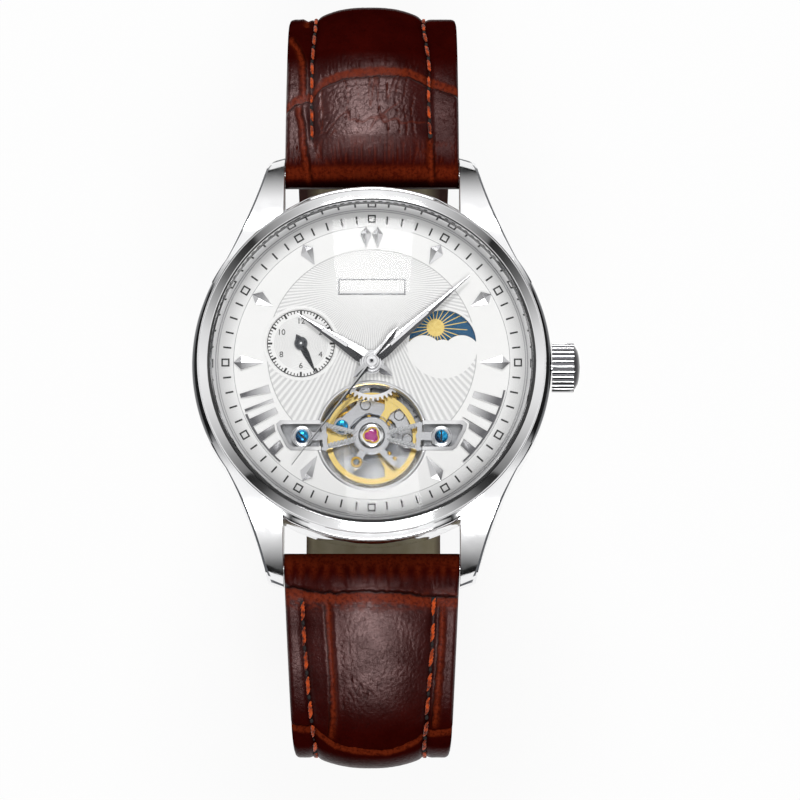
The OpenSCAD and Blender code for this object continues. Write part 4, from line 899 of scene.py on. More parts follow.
# round holes for the buckle, and the slots that its tongue works in
for skin_obj in (SKINS[1], LININGS[1]):
    bm = bmesh.new()
    for k in (-2, -1, 1, 2, 3):
        y = -2.3 + k * HOLE_PITCH
        m = upright(HALF - abs(y), 0, -1)
        if y > 0:
            m = Matrix.Scale(-1, 4, (0, 1, 0)) @ m
        bmesh.ops.create_cone(bm, cap_ends=True, segments=32, radius1=MM, radius2=MM, depth=16 * MM, matrix=m)
    box(bm, -1.15, 1.15, -5.4, 2.0, Z_LOW - 0.4, Z_LOW + 7.6)
    bmesh.ops.recalc_face_normals(bm, faces=bm.faces)
    cut(skin_obj, bm)
for skin_obj in (SKINS[0], LININGS[0]):
    bm = bmesh.new()
    box(bm, -1.15, 1.15, HINGE[0] - 4, HINGE[0] + 1.9, HINGE[1] - 4, HINGE[1] + 4)
    cut(skin_obj, bm)
for node in ("fixed_keeper", "free_keeper"):
    _mesh = dressed(node, LEATHER, 0.35, 4).data
    _mesh.attributes.new("buff", "FLOAT", "POINT").data.foreach_set("value", [0.35] * len(_mesh.vertices))


# ---- case ----
CASE_R, TIP_Y, SHOULDER, BEZEL_FOOT = 20.3, 24.74, 9.81, 19.56
# a lug's inner edge runs from the bezel's foot to the tip; its end slants by LEAN
LUG_X, LUG_FROM_Y, LEAN = 9.98, 16.82, 0.344
# angles from 3 o'clock where the lug's inner and outer edges leave the bezel's foot
FOOT_IN, FOOT_OUT = 59.3, 27


def lug_height(x, y):
    """Height of a lug's top: level at the bezel, rounding over to a steep nose."""
    z = -16.05 + math.sqrt(max(1, 27 ** 2 - (y - TIP_Y + 17.04) ** 2))
    gap = (SHOULDER - z) / 0.12
    z = SHOULDER - 0.12 * (math.log(1 + math.exp(gap)) if abs(gap) < 30 else max(gap, 0))
    to_tip = TIP_Y - LEAN * (x - 10) - y
    z -= 0.3 * ease((1.35 - to_tip) / 1.0)
    return z - 0.75 * ease((0.72 - to_tip) / 0.75) ** 0.8


def shoulder_height(x, y):
    """Height of the shoulder round the bezel: it falls away at the sides and runs into the lugs."""
    r, a = math.hypot(x, y), math.degrees(math.atan2(y, x))
    z = SHOULDER - max(0, r - BEZEL_FOOT) * 0.8 * (1 - ease((a - 20) / 12))
    k = ease((x - 7) / 2.9) if y > 12 else 0
    return z + (min(z, lug_height(x, y) - 0.05 - 0.3 * ease((r - 20) / 0.3) * ease((x - 9.5) / 0.4)) - z) * k


def flank(a):
    """Outside of the case with its lugs, in plan, at an angle from 3 o'clock."""
    d = math.radians(a - 30.5)
    far = CASE_R + 49.87
    r = far * cos(d) - math.sqrt(max(0, 2500 - (far * sin(d)) ** 2))
    r = max(r, CASE_R) if a > 30 else CASE_R
    a = math.radians(a)
    return r * cos(a), r * sin(a)


def crossing():
    """Where the flank meets the slanting end of the lug."""
    a = 40.0
    while flank(a)[1] < TIP_Y - LEAN * (flank(a)[0] - 10):
        a += 0.02
    return a


# the case itself, with its lug tops let down a little to sit under the polished ones
_copy = solid_of("mid_case")
for _v in _copy.verts:
    _x, _y, _z = abs(_v.co.x) / MM, abs(_v.co.y) / MM, _v.co.z / MM
    if _x > 9.8 and _y > 14 and _z > 2 and math.hypot(_x, _y) > 18.4:
        _v.co.z = min(_z, lug_height(_x, _y) - 0.25) * MM
    elif _z > 9 and math.hypot(_x, _y) > 18.4:
        _v.co.z = min(_z, shoulder_height(_x, _y) - 0.25) * MM
_case = to_object("mid_case_body", _copy, [STEEL], body=BODY_OF["mid_case"])
bevelled(_case, 0.05, 2)
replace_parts(_case, "mid_case")

# polished lugs: one surface from the bezel to the nose, with a fine bevel outside that is a painted dark
# reflection
ROWS, END_A, TURN_AT = 90, crossing(), 0.45
LUG_BEVEL, BEVEL_DROP, EDGE_R = 0.36, 0.88, 0.09
# shares of a lug's width where it has vertices, before those of its bevel
COLS = [0, 0.02, 0.05] + [0.08 + 0.92 * k / 20 for k in range(19)]


def lug_edges(t):
    """A lug's inner and outer edge, some share of the way from its nose to the bezel."""
    x, y = flank(END_A + (FOOT_OUT - END_A) * t)
    # the outer corner of the nose is rounded off along the slanting end
    off = 0.42 * max(0, 1 - t / 0.08) ** 2
    outer = (x + 0.02 - off * 0.946, y + off * 0.325)
    if t < TURN_AT:
        return (LUG_X, TIP_Y - (TIP_Y - LUG_FROM_Y) * t / TURN_AT), outer
    foot = math.radians(FOOT_IN + (FOOT_OUT - FOOT_IN) * (t - TURN_AT) / (1 - TURN_AT))
    return (BEZEL_FOOT * cos(foot), BEZEL_FOOT * sin(foot)), outer


for _sx, _sy in ((1, 1), (-1, 1), (1, -1), (-1, -1)):
    bm = bmesh.new()
    _n = len(COLS) + 4
    _vs = bmesh.ops.create_grid(bm, x_segments=_n - 1, y_segments=ROWS, size=1)["verts"]
    _place = [(round((v.co.x + 1) / 2 * (_n - 1)), (v.co.y + 1) / 2) for v in _vs]
    for _v, (_i, _t) in zip(_vs, _place):
        _in, _out = lug_edges(_t)
        _wide = math.hypot(_out[0] - _in[0], _out[1] - _in[1])
        _bev = min(LUG_BEVEL * (1 - 0.6 * _t), _wide * 0.3) / _wide
        _us = [c * (1 - _bev) for c in COLS] + [1 - _bev, 1 - _bev * 0.66, 1 - _bev * 0.33, 1.0]
        _u = _us[_i]
        _x, _y = _in[0] + (_out[0] - _in[0]) * _u, _in[1] + (_out[1] - _in[1]) * _u
        _z = lug_height(_x, _y)
        if _u > 1 - _bev:
            _z -= (_u - 1 + _bev) * _wide * BEVEL_DROP
        if _t < TURN_AT:
            _e = EDGE_R - min(EDGE_R, _u * _wide)
            _z -= EDGE_R - math.sqrt(EDGE_R * EDGE_R - _e * _e)
        _v.co = Vector((_sx * _x, _sy * _y, _z)) * MM
    bm.verts.index_update()
    # the outer bevel and the edge row at the nose take the dark steel, a painted dark reflection
    for _f in bm.faces:
        _c = [_place[v.index] for v in _f.verts]
        _f.material_index = 1 if min(c[0] for c in _c) >= _n - 4 or max(c[1] for c in _c) < 1.5 / ROWS else 0
    # a thin skin beside the bezel, and as deep as the lug beyond the case
    for _v in raised(bm, bm.faces[:]):
        _y = abs(_v.co.y) / MM
        _v.co.z = (0.85 + 0.6 * ease((_y - 16.5) / 8.2) if _y > 15 else 8.9) * MM
    bmesh.ops.recalc_face_normals(bm, faces=bm.faces)
    for _f in bm.faces:
        if abs(_f.normal.z) < 0.3:
            _f.material_index = 0
    _where = ("right" if _sx > 0 else "left", "12" if _sy > 0 else "6")
    to_object("lug_%s_%s" % _where, bm, [LUG_STEEL_PAINTED_SHADE, DARK_STEEL_AND_PAINTED_SHADE], smooth=28)

# the shoulder that runs round the bezel: level at 12 and 6, falling away at the sides
bm = bmesh.new()
lathe(bm, [(19.5, 9.3), (19.5, 9.72), (19.56, 9.812), (19.7, 9.813), (19.85, 9.812), (20.0, 9.811),
           (20.08, 9.8), (20.16, 9.765), (20.24, 9.69), (20.3, 9.58), (20.32, 9.45), (20.32, 9.0),
           (19.5, 9.0)], steps=360)
for _v in bm.verts:
    _v.co.z += (shoulder_height(abs(_v.co.x) / MM, abs(_v.co.y) / MM) - SHOULDER) * MM
to_object("case_shoulder", bm, [LUG_STEEL_PAINTED_SHADE], smooth=28)
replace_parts(turned("bezel_turned", [
    (18.45, 9.82), (19.3, 9.82), (19.3, 9.1), (19.66, 9.1), (19.66, 11.38), (19.62, 11.46),
    (19.54, 11.5), (19.5, 11.47), (19.46, 11.47), (19.42, 11.53), (18.66, 11.81), (18.56, 11.84),
    (18.48, 11.82), (18.45, 11.76)], STEEL, 12), "bezel")
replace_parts(turned("rehaut_turned", [
    (17.52, 9.82), (18.44, 9.82), (18.44, 11.38), (18.3, 11.39), (18.0, 11.1), (17.96, 11.0)],
    STEEL, 20), "rehaut_ring")
# the crown's grips, cut with a round cutter, the grooves between them black as painted shade, and its
# blackened domed end
CROWN_X, CROWN_DOME_X, CROWN_Z, FLUTE_R = 20.45, 22.92, 6.2, 2.765
_crown = dressed("crown", STEEL)
_crown.data.materials.append(BLACK_STEEL_AND_PAINTED_SHADE)
_crown.data.materials.append(BLACK_STEEL_AND_PAINTED_SHADE)
for _f in _crown.data.polygons:
    _c = _f.center / MM
    if _c.x > CROWN_DOME_X:
        _f.material_index = 2
    elif _c.x > CROWN_X and math.hypot(_c.y, _c.z - CROWN_Z) < FLUTE_R:
        _f.material_index = 1
for _n, _m, _w in (("case_back", STEEL, 0.05), ("buckle_frame", STEEL, 0.2), ("buckle_tongue", STEEL, 0.05),
                   ("crown_tube", STEEL, 0.05), ("winding_stem", STEEL, 0.05), ("lug_bars", STEEL, 0.05),
                   ("lug_bar_tips_left", STEEL, 0.03), ("lug_bar_tips_right", STEEL, 0.03),
                   ("crystal", GLASS, 0), ("case_back_glass", GLASS, 0), ("case_gaskets", RUBBER, 0),
                   ("crown_gasket", RUBBER, 0)):
    dressed(_n, _m, _w)


# ---- movement: each node's finish and the width of its softened edges (mm) ----
FINISHES = {
    "movement_holder": (SATIN, 0.03), "dial": (DIAL, 0.03), "cannon_pinion": (BRIGHT, 0),
    "minute_wheel": (BRASS, 0), "hour_wheel": (BRIGHT, 0), "zone_idler": (BRASS, 0),
    "day_night_idler": (BRASS, 0), "main_plate": (FROST, 0.03), "barrel_bridge": (STRIPED, 0.06),
    "train_bridge": (STRIPED, 0.06), "balance_bridge": (SATIN, 0.05), "pallet_bridge": (SATIN, 0.04),
    "regulator": (SATIN, 0.03), "jewels": (RUBY, 0.03), "blued_screws": (BLUED_PAINTED_LIGHT, 0.04),
    "plate_screws": (BLUED_PAINTED_LIGHT, 0.04), "mainspring_barrel": (BRASS, 0.04), "mainspring": (SPRING, 0),
    "centre_wheel": (BRASS, 0), "third_wheel": (BRASS, 0), "fourth_wheel": (BRASS, 0),
    "escape_wheel": (SATIN, 0), "pallet_fork": (SATIN, 0), "balance_wheel": (BALANCE, 0.04),
    "hairspring": (SPRING, 0), "winding_pinion": (SATIN, 0), "crown_wheel": (SATIN, 0.02),
    "ratchet_wheel": (SATIN, 0.02), "click": (SATIN, 0.02), "rotor": (GOLD_ROTOR, 0.06),
}
for _n, (_m, _w) in FINISHES.items():
    dressed(_n, _m, _w)


# ---- dial furniture ----
# print stands 0.02 mm proud and reaches a little way into the dial
PRINT_FOOT, PRINT_TOP = DIAL_Z - 0.019, DIAL_Z + 0.02
SUB_Z = 9.65
# minutes are plain bars, and every fifth is a small open frame
bm = bmesh.new()
for _k in range(60):
    if _k % 5:
        box(bm, -0.095, 0.095, 15.95, 16.86, PRINT_FOOT, PRINT_TOP, turn(_k * 6))
for _k in range(12):
    _m = turn(_k * 30)
    for _x0, _x1, _y0, _y1 in ((-0.46, -0.29, 16.05, 16.97), (0.29, 0.46, 16.05, 16.97),
                               (-0.31, 0.31, 16.05, 16.22), (-0.31, 0.31, 16.8, 16.97)):
        box(bm, _x0, _x1, _y0, _y1, PRINT_FOOT, PRINT_TOP + 0.001, _m)
to_object("minute_track_print", bm, [INK], smooth=0)
# thin lines inside and outside the minutes
bm = bmesh.new()
washer(bm, 15.57, 15.62, DIAL_Z - 0.02, DIAL_Z + 0.012)
washer(bm, 17.33, 17.42, DIAL_Z - 0.02, DIAL_Z + 0.03)
to_object("chapter_ring_lines", bm, [GREY_INK], smooth=0)

# the small dial of the second time zone: ring, sixty divisions and figures
bm = bmesh.new()
washer(bm, 3.74, 3.83, SUB_Z - 0.01, SUB_Z + 0.02, ZONE, 96)
for _k in range(60):
    _long = _k % 5 == 0
    _w = 0.11 if _long else 0.055
    box(bm, -_w, _w, 3.24 if _long else 3.46, 3.76, SUB_Z - 0.01, SUB_Z + 0.02, turn(_k * 6, ZONE))
to_object("zone_dial_track", bm, [INK], smooth=0)


def figure(text, at, size, z):
    """A printed figure, centred at a place on the dial."""
    data = bpy.data.curves.new("figure", "FONT")
    data.body, data.size, data.extrude = text, size * MM, 0.012 * MM
    data.align_x, data.align_y = "CENTER", "CENTER"
    made = bpy.data.objects.new("figure", data)
    bpy.context.scene.collection.objects.link(made)
    mesh = bpy.data.meshes.new_from_object(made.evaluated_get(bpy.context.evaluated_depsgraph_get()))
    bpy.data.objects.remove(made)
    bm = bmesh.new()
    bm.from_mesh(mesh)
    bpy.data.meshes.remove(mesh)
    bmesh.ops.remove_doubles(bm, verts=bm.verts, dist=1e-7)
    bmesh.ops.translate(bm, verts=bm.verts, vec=(at[0] * MM, at[1] * MM, z * MM))
    to_object("figure_" + text, bm, [INK], smooth=0)


FIGURE_R, FIGURE_SIZE = 2.55, 0.92
for _t in (12, 2, 4, 6, 8, 10):
    _a = math.radians(_t % 12 * 30)
    figure(str(_t), (ZONE[0] + FIGURE_R * sin(_a), ZONE[1] + FIGURE_R * cos(_a)), FIGURE_SIZE, SUB_Z + 0.012)
# stepped rim round the small dial
turned("zone_dial_rim", from_height(DIAL_Z, [
    (3.9, -0.16), (3.98, -0.02), (4.22, -0.02), (4.3, 0.035), (4.24, 0.05), (3.98, 0.05), (3.89, -0.04)]),
    DIAL, 20, [ZONE], 96)

# kite indexes: four cut facets that meet in a ridge, a bright pair and a pair with painted shade
INDEX_R, INDEX_HALF, INDEX_APEX = 15.56, 0.8, 0.84
bm = bmesh.new()


def kite(m, r0, r1, half, apex, dark):
    """A kite from its inner point to its outer one; its dark side, with painted shade, is -1 (before) or 1
    (after).
    """
    lo, hi = (0.24, 0.1) if dark < 0 else (0.1, 0.24)
    ribbon(bm, [(r0, -0.03, 0.03, DIAL_Z + 0.1, DIAL_Z + 0.13, DIAL_Z + 0.1),
                (r1 - apex, -half, half, DIAL_Z + lo, DIAL_Z + 0.28, DIAL_Z + hi),
                (r1, -0.03, 0.03, DIAL_Z + 0.1, DIAL_Z + 0.13, DIAL_Z + 0.1)], DIAL_Z - 0.01, m, dark)


for _a, _r0, _d in ((30, 13.0, -1), (60, 13.0, -1), (90, 12.3, 1), (150, 12.3, -1), (210, 12.3, -1),
                    (270, 12.3, -1), (300, 13.0, 1), (330, 13.0, 1)):
    kite(turn(_a), _r0, INDEX_R, INDEX_HALF, INDEX_APEX, _d)
# at 12 a narrower pair stands side by side
for _x in (-0.665, 0.665):
    kite(Matrix.Translation((_x * MM, 0, 0)), 13.14, 15.54, 0.63, 0.78, -1)
_kites = to_object("kite_indexes", bm, [BRIGHT, FACET_PAINTED_SHADE], smooth=12)
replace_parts(_kites, "hour_markers")
# Roman numerals, cut away round the wings of the opening and bevelled
WING = [(5.75, -6.6), (10.3, -6.6), (10.75, -7.0), (10.6, -7.7), (9.6, -9.6), (9.1, -10.0), (5.7, -10.0)]
_ns = dressed("roman_numerals", NUMERAL_PAINTED_SHADE, 0)
bm = bmesh.new()
for _s in (-1, 1):
    prism(bm, [(_s * x, y) for x, y in ((5, -6.35), (10.4, -6.35), (11.0, -6.9), (10.85, -7.8), (9.82, -9.8),
                                        (9.2, -10.25), (5, -10.25))], 9, 11)
cut(_ns, bm)
bm = bmesh.new()
bm.from_mesh(_ns.data)
bmesh.ops.recalc_face_normals(bm, faces=bm.faces)
_es = [e for e in bm.edges if len(e.link_faces) == 2 and e.calc_face_angle() > 0.9
       and all(v.co.z > (DIAL_Z + 0.05) * MM for v in e.verts)]
_new = bmesh.ops.bevel(bm, geom=_es, offset=0.1 * MM, offset_type="OFFSET", segments=1, profile=0.5,
                       affect="EDGES", clamp_overlap=True, material=-1)["faces"]
# bevel faces turned towards the lower right take the dark steel as painted shade
for _f in _new:
    _f.material_index = 1 if _f.normal.x * 0.35 - _f.normal.y * 0.94 > 0.2 else 0
bm.to_mesh(_ns.data)
bm.free()
_ns.data.materials.append(DARK_STEEL_AND_PAINTED_SHADE)

# name plate, left blank: a bevelled frame round a matt field
bm = bmesh.new()
box(bm, -3.84, 3.86, 7.78, 9.62, DIAL_Z - 0.01, DIAL_Z + 0.06)
_top = [f for f in bm.faces if all(v.co.z > (DIAL_Z + 0.05) * MM for v in f.verts)]
for _in, _up in ((0.12, 0.10), (0.05, 0.0), (0.1, -0.07)):
    bmesh.ops.inset_region(bm, faces=_top, thickness=_in * MM, depth=_up * MM)
_plate = to_object("blank_name_plate", bm, [RHODIUM, DIAL], smooth=0)
for _f in _plate.data.polygons:
    if _f.normal.z > 0.99 and _f.area > 5e-6:
        _f.material_index = 1
# polished rim of the opening over the balance
_rim = turned("heart_rim", from_height(DIAL_Z, [
    (5.9, -0.4), (5.96, 0.06), (6.02, 0.11), (6.14, 0.11), (6.32, 0.01), (6.36, -0.05), (6.2, -0.3)]),
    BRIGHT, 25, [BAL], 120)
bm = bmesh.new()
for _s in (-1, 1):
    box(bm, min(_s * 5.1, _s * 11), max(_s * 5.1, _s * 11), -10.0, -6.6, 8, 12)
cut(_rim, bm)
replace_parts(_rim, "dial_trim")
# satin frames round the two wings of the opening, with the numerals' painted shade towards the rim
bm, _gate = bmesh.new(), bmesh.new()
INNER = [(5.9, -7.02), (10.02, -7.02), (10.28, -7.18), (10.2, -7.6), (9.28, -9.38), (8.9, -9.6), (5.9, -9.6)]
for _s in (-1, 1):
    band(bm, [[(_s * p[0], p[1]) for p in pts] for pts in (WING, INNER)], DIAL_Z + 0.09, -0.34)
    box(_gate, min(_s * 5, _s * 6.3), max(_s * 5, _s * 6.3), -9.55, -7.06, 9, 11)
_lips = to_object("wing_frames", bm, [NUMERAL_PAINTED_SHADE], smooth=0)
cut(_lips, _gate)
bevelled(_lips, 0.07, 2)

# sun of the day and night disc: a plain gilt disc with fine rays
bm = bmesh.new()
_sun, RAYS_END = (WINDOW[0] - 0.79, WINDOW[1] + 1.84), 4.25
disc(bm, 1.0, 9.29, 9.33, _sun, 48)
RAY = [(-0.05, 0.9), (0.05, 0.9), (0.045, 3.6), (-0.045, 3.6)]
for _k in range(24):
    # a ray ends inside the disc's edge
    for _v in prism(bm, RAY, 9.295, 9.315, turn(_k * 15 + 4, _sun)):
        _d = _v.co.xy - Vector(WINDOW) * MM
        if _d.length > RAYS_END * MM:
            _v.co.xy = Vector(WINDOW) * MM + _d.normalized() * RAYS_END * MM
to_object("gilt_sun", bm, [GOLD_INK], smooth=0, body="day_night_disc")
dressed("day_night_disc", ENAMEL, 0)


# ---- hands: dauphine blades, one facet bright and one with painted shade ----
def blade(bm, a, z, length, tail, half, widest, dark):
    """A faceted hand with a pointed tail, widest at some share of its length; dark names its
    side with painted shade, -1 left or 1 right."""
    lo, hi = (0.30, 0.14) if dark > 0 else (0.14, 0.30)
    ribbon(bm, [(-tail, -0.03, 0.03, z + 0.06, z + 0.09, z + 0.06),
                (-tail + 1.0, -0.5, 0.5, z + 0.12 + lo * 0.3, z + 0.3, z + 0.12 + hi * 0.3),
                (-0.3, -0.5, 0.5, z + lo, z + 0.36, z + hi),
                (length * widest, -half, half, z + lo - 0.04, z + 0.36, z + hi - 0.04),
                (length * 0.5, -half * 0.58, half * 0.58, z + lo - 0.08, z + 0.28, z + hi - 0.08),
                (length, -0.04, 0.04, z + 0.06, z + 0.1, z + 0.06)], z, turn(a), dark)


def hand(node, a, z, length, half, widest, dark, hub, bar_from, bar_to):
    """A blade with its round hub, and the bar inlaid along its ridge in a dark line."""
    bm = bmesh.new()
    blade(bm, a, z, length, 2.8, half, widest, dark)
    obj = to_object(node + "_blade", bm, [BRIGHT, FACET_PAINTED_SHADE], smooth=12, body=BODY_OF[node])
    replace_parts(obj, node)
    bosses(node + "_hub", BRIGHT, 30, [(hub, z, z + 0.22, (0, 0), 64),
                                       (hub - 0.1, z + 0.22, z + 0.34, (0, 0), 64, hub - 0.2)], BODY_OF[node])
    bm = bmesh.new()
    box(bm, -0.21, 0.21, bar_from - 0.04, bar_to + 0.04, z + 0.2, z + 0.365, turn(a))
    to_object(node + "_inlay_bed", bm, [DARK_STEEL_AND_PAINTED_SHADE], smooth=0, body=BODY_OF[node])
    bm = bmesh.new()
    box(bm, -0.17, 0.17, bar_from, bar_to, z + 0.2, z + 0.385, turn(a))
    bevelled(to_object(node + "_inlay", bm, [BRIGHT], smooth=0, body=BODY_OF[node]), 0.02, 1)


hand("hour_hand", 303.4, z=10.1, length=10.1, half=0.85, widest=0.16, dark=-1, hub=1.35, bar_from=3.3,
     bar_to=6.7)
hand("minute_hand", 48.4, z=10.5, length=14.8, half=0.75, widest=0.12, dark=1, hub=1.05, bar_from=2.85,
     bar_to=8.5)
# second hand: a needle with a leaf-shaped counterweight, its left facets darkened with painted shade
bm = bmesh.new()
ribbon(bm, [(-4.85, -0.02, 0.02, 10.95, 10.98, 10.95), (-3.6, -0.34, 0.34, 10.96, 11.14, 11.08),
            (-1.3, -0.16, 0.16, 10.98, 11.12, 11.08), (0.2, -0.2, 0.2, 10.98, 11.12, 11.08),
            (3.0, -0.16, 0.16, 10.96, 11.08, 11.04), (9.0, -0.1, 0.1, 10.96, 11.04, 11.0),
            (14.85, -0.045, 0.045, 10.93, 10.97, 10.95)], 10.9, turn(217.2), -1)
to_object("second_hand_blade", bm, [BRIGHT, FACET_PAINTED_SHADE], smooth=12, body=BODY_OF["second_hand"])
bosses("second_hand_hub", BRIGHT, 20, [(0.78, 10.9, 11.14, (0, 0), 64), (0.7, 11.14, 11.2, (0, 0), 64, 0.6),
                                       (0.3, 11.19, 11.3, (0, 0), 32, 0.24), (0.22, 9.9, 11.0, (0, 0), 24)],
       BODY_OF["second_hand"])
bosses("second_hand_pip", BLACK_STEEL_AND_PAINTED_SHADE, 20, [(0.19, 11.28, 11.32, (0, 0), 24)], BODY_OF["second_hand"])
below("second_hand", 10.88, SATIN, "second_arbor")
below("zone_hand", 9.7, SATIN, "zone_hand_wheel")
# small hand: a leaf of grey steel with a ridge and a polished hub
bm = bmesh.new()
ribbon(bm, [(-1.17, -0.02, 0.02, 9.74, 9.76, 9.74), (-0.75, -0.33, 0.33, 9.75, 9.86, 9.74),
            (0.5, -0.36, 0.36, 9.77, 9.9, 9.74), (1.4, -0.36, 0.36, 9.77, 9.9, 9.74),
            (3.75, -0.03, 0.03, 9.74, 9.77, 9.74)], 9.72, turn(153.4, ZONE))
disc(bm, 0.74, 9.72, 9.84, ZONE, 48)
disc(bm, 0.5, 9.84, 9.92, ZONE, 48, 0.4)
to_object("zone_hand_leaf", bm, [DARK_STEEL_AND_PAINTED_SHADE], smooth=12, body=BODY_OF["zone_hand"])
bosses("zone_hand_cap", STEEL, 20, [(0.2, 9.9, 10.0, ZONE, 32, 0.14)], BODY_OF["zone_hand"])


# ---- balance, its bridge and the screws ----
def rope(bm, p, q, z, r=0.29, strands=2, turns=4.0, steps=40):
    """Wires twisted into a rope between two points."""
    p, q = Vector((p[0], p[1], z)), Vector((q[0], q[1], z))
    far = q - p
    side = far.cross(Vector((0, 0, 1))).normalized()
    up = side.cross(far).normalized()
    for k in range(strands):
        wire = bmesh.ops.create_circle(bm, cap_ends=True, radius=r * 0.55 * MM, segments=8)["verts"]

        def place(t):
            a = 2 * pi * (turns * t + k / strands)
            d, x = far.normalized(), side * cos(a) + up * sin(a)
            m = Matrix.Identity(4)
            m.col[0][:3], m.col[1][:3], m.col[2][:3] = x, d.cross(x), d
            m.col[3][:3] = (p + far * t + x * r * 0.5) * MM
            return m
        for v in wire:
            v.co = place(0) @ v.co
        edges = wire[0].link_faces[0].edges[:]
        for s in range(1, steps + 1):
            ext = bmesh.ops.extrude_edge_only(bm, edges=edges)["geom"]
            edges = [g for g in ext if isinstance(g, bmesh.types.BMEdge)]
            vs = [g for g in ext if isinstance(g, bmesh.types.BMVert)]
            m = place(s / steps) @ place((s - 1) / steps).inverted()
            for v in vs:
                v.co = m @ v.co
        bmesh.ops.contextual_create(bm, geom=edges)


bm = bmesh.new()
for _s in (-1, 1):
    for _t in (-1, 1):
        rope(bm, (_s * 1.75, BAL[1] + _t * 0.32), (_s * 4.9, BAL[1] + _t * 1.12), 9.65)
to_object("rope_arms", bm, [BLASTED], smooth=60)
# domed steel setting round the ruby, a dark groove of painted shade, and the gilt three-lobed spring
JEWEL_Z = 9.83
turned("jewel_setting", from_height(JEWEL_Z, [
    (0.8, 0), (0.82, 0.1), (0.95, 0.17), (1.15, 0.16), (1.3, 0.1), (1.38, 0)]), STEEL, 30, [BAL], 96)
turned("setting_groove_painted_shade", from_height(JEWEL_Z, [(1.38, -0.1), (1.39, 0.02), (1.47, 0.02), (1.49, -0.1)]),
       BLACK_STEEL_AND_PAINTED_SHADE, 30, [BAL], 96)
bm = bmesh.new()
_loops = [[], []]
for _k in range(72):
    _a = 2 * pi * _k / 72
    _lobe = 0.5 + 0.5 * cos(3 * (_a - math.radians(70)))
    for _loop, _in in zip(_loops, (0, 0.17)):
        _r = 0.72 + 0.3 * _lobe ** 0.6 - _in
        _loop.append((BAL[0] + _r * cos(_a), BAL[1] + _r * sin(_a)))
band(bm, _loops, JEWEL_Z + 0.19, -0.06)
to_object("jewel_spring", bm, [BRASS], smooth=30)
domes("balance_cap_ruby", RUBY, 80, [BAL], JEWEL_Z, 0.8, 0.17, (32, 16))
# stud ball in its gilt ring, dark grey as a painted dark reflection, and the two regulator pins
STUD = (-1.72, -11.36)
turned("gilt_stud_ring", [(0.36, 9.84), (0.4, 9.95), (0.58, 9.95), (0.66, 9.84)], BRASS, 50, [STUD], 48)
domes("regulator_pins", BRASS, 50, ((2.0, -10.36), (2.6, -10.94)), 9.76, 0.25, 0.2, (16, 10),
      BODY_OF["regulator"])
domes("stud_ball", DARK_STEEL_AND_PAINTED_SHADE, 80, [STUD], 9.86, 0.4, 0.18, (24, 12))
# turned silver rings round the two screws of the bridge
LEFT_SCREW, RIGHT_SCREW, LOWER_SCREW = (-7.85, -8.4), (7.85, -8.4), (-3.4, -6.85)
turned("screw_cups", [(0.8, 9.58), (0.84, 9.63), (1.0, 9.66), (1.12, 9.63), (1.16, 9.58)], SATIN, 20,
       (LEFT_SCREW, RIGHT_SCREW), 64)
# domed heads of the blued screws: two halves with the slot between them, and a black floor of painted shade
# in the slot
for _n, _at, _z, _a, _high in (("left", LEFT_SCREW, 9.6, 135, 0.36), ("right", RIGHT_SCREW, 9.6, 90, 0.36),
                               ("lower", LOWER_SCREW, 7.03, 135, 0.2)):
    bm = bmesh.new()
    for _s in (-1, 1):
        _part = bmesh.new()
        bmesh.ops.create_uvsphere(_part, u_segments=48, v_segments=24, radius=1, matrix=Matrix.Diagonal(
            (0.74 * MM, 0.74 * MM, _high * MM, 1)))
        for _co, _no in (((0, 0, -0.05 * MM), (0, 0, 1)), ((0, _s * 0.11 * MM, 0), (0, _s, 0))):
            sliced(_part, _co, _no, clear_inner=True)
        bmesh.ops.transform(_part, matrix=turn(-_a, _at), verts=_part.verts)
        bmesh.ops.translate(_part, verts=_part.verts, vec=(0, 0, _z * MM))
        _mesh = bpy.data.meshes.new("half")
        _part.to_mesh(_mesh)
        _part.free()
        bm.from_mesh(_mesh)
        bpy.data.meshes.remove(_mesh)
    to_object("blued_head_" + _n, bm, [BLUED_PAINTED_LIGHT], smooth=35)
    bosses("slot_painted_shade_" + _n, BLACK_STEEL_AND_PAINTED_SHADE, 35, [(0.66, _z, _z + 0.06, _at, 32)])
# satin steel caps over the jewels of the train beside the balance
turned("train_jewel_caps", [(0.02, 7.02), (0.02, 7.1), (0.3, 7.12), (0.52, 7.1), (0.62, 7.02)], SATIN, 30,
       ((-0.73, -4.41), (3.1, -5.6), (4.0, -8.3)), 32)

# ---- floor, light and camera ----
# The camera looks down on the dial from 9 degrees towards 6 o'clock.
CAM_ELEVATION, CAM_DISTANCE, CAM_SENSOR = math.radians(81), 575 * MM, 36
SEEN_WIDTH = 90.19 * MM
away = Vector((0, -cos(CAM_ELEVATION), sin(CAM_ELEVATION)))
floor_z = cad_box[0][2]
FLOOR = material("matt_white_floor", "#f6f6f6", 0.9)[0]
# the eye, mirrors and glass see the floor as a white ground that still takes the shadow
_seen = add(FLOOR, "LightPath", out="Is Camera Ray")
for _ray in ("Is Glossy Ray", "Is Transmission Ray"):
    _seen = add(FLOOR, "Math", _seen, add(FLOOR, "LightPath", out=_ray), operation="MAXIMUM")
_seen = add(FLOOR, "Math", _seen, 0.9, operation="MULTIPLY")
end(FLOOR, add(FLOOR, "MixShader", _seen, FLOOR.node_tree.nodes["Principled BSDF"].outputs[0],
               add(FLOOR, "Emission", "#ffffff", 1.0)))
bm = bmesh.new()
bmesh.ops.create_grid(bm, x_segments=1, y_segments=1, size=2.5)
bmesh.ops.translate(bm, verts=bm.verts, vec=(0, 0, floor_z))
floor = to_object("floor", bm, [FLOOR], smooth=0, body=None)

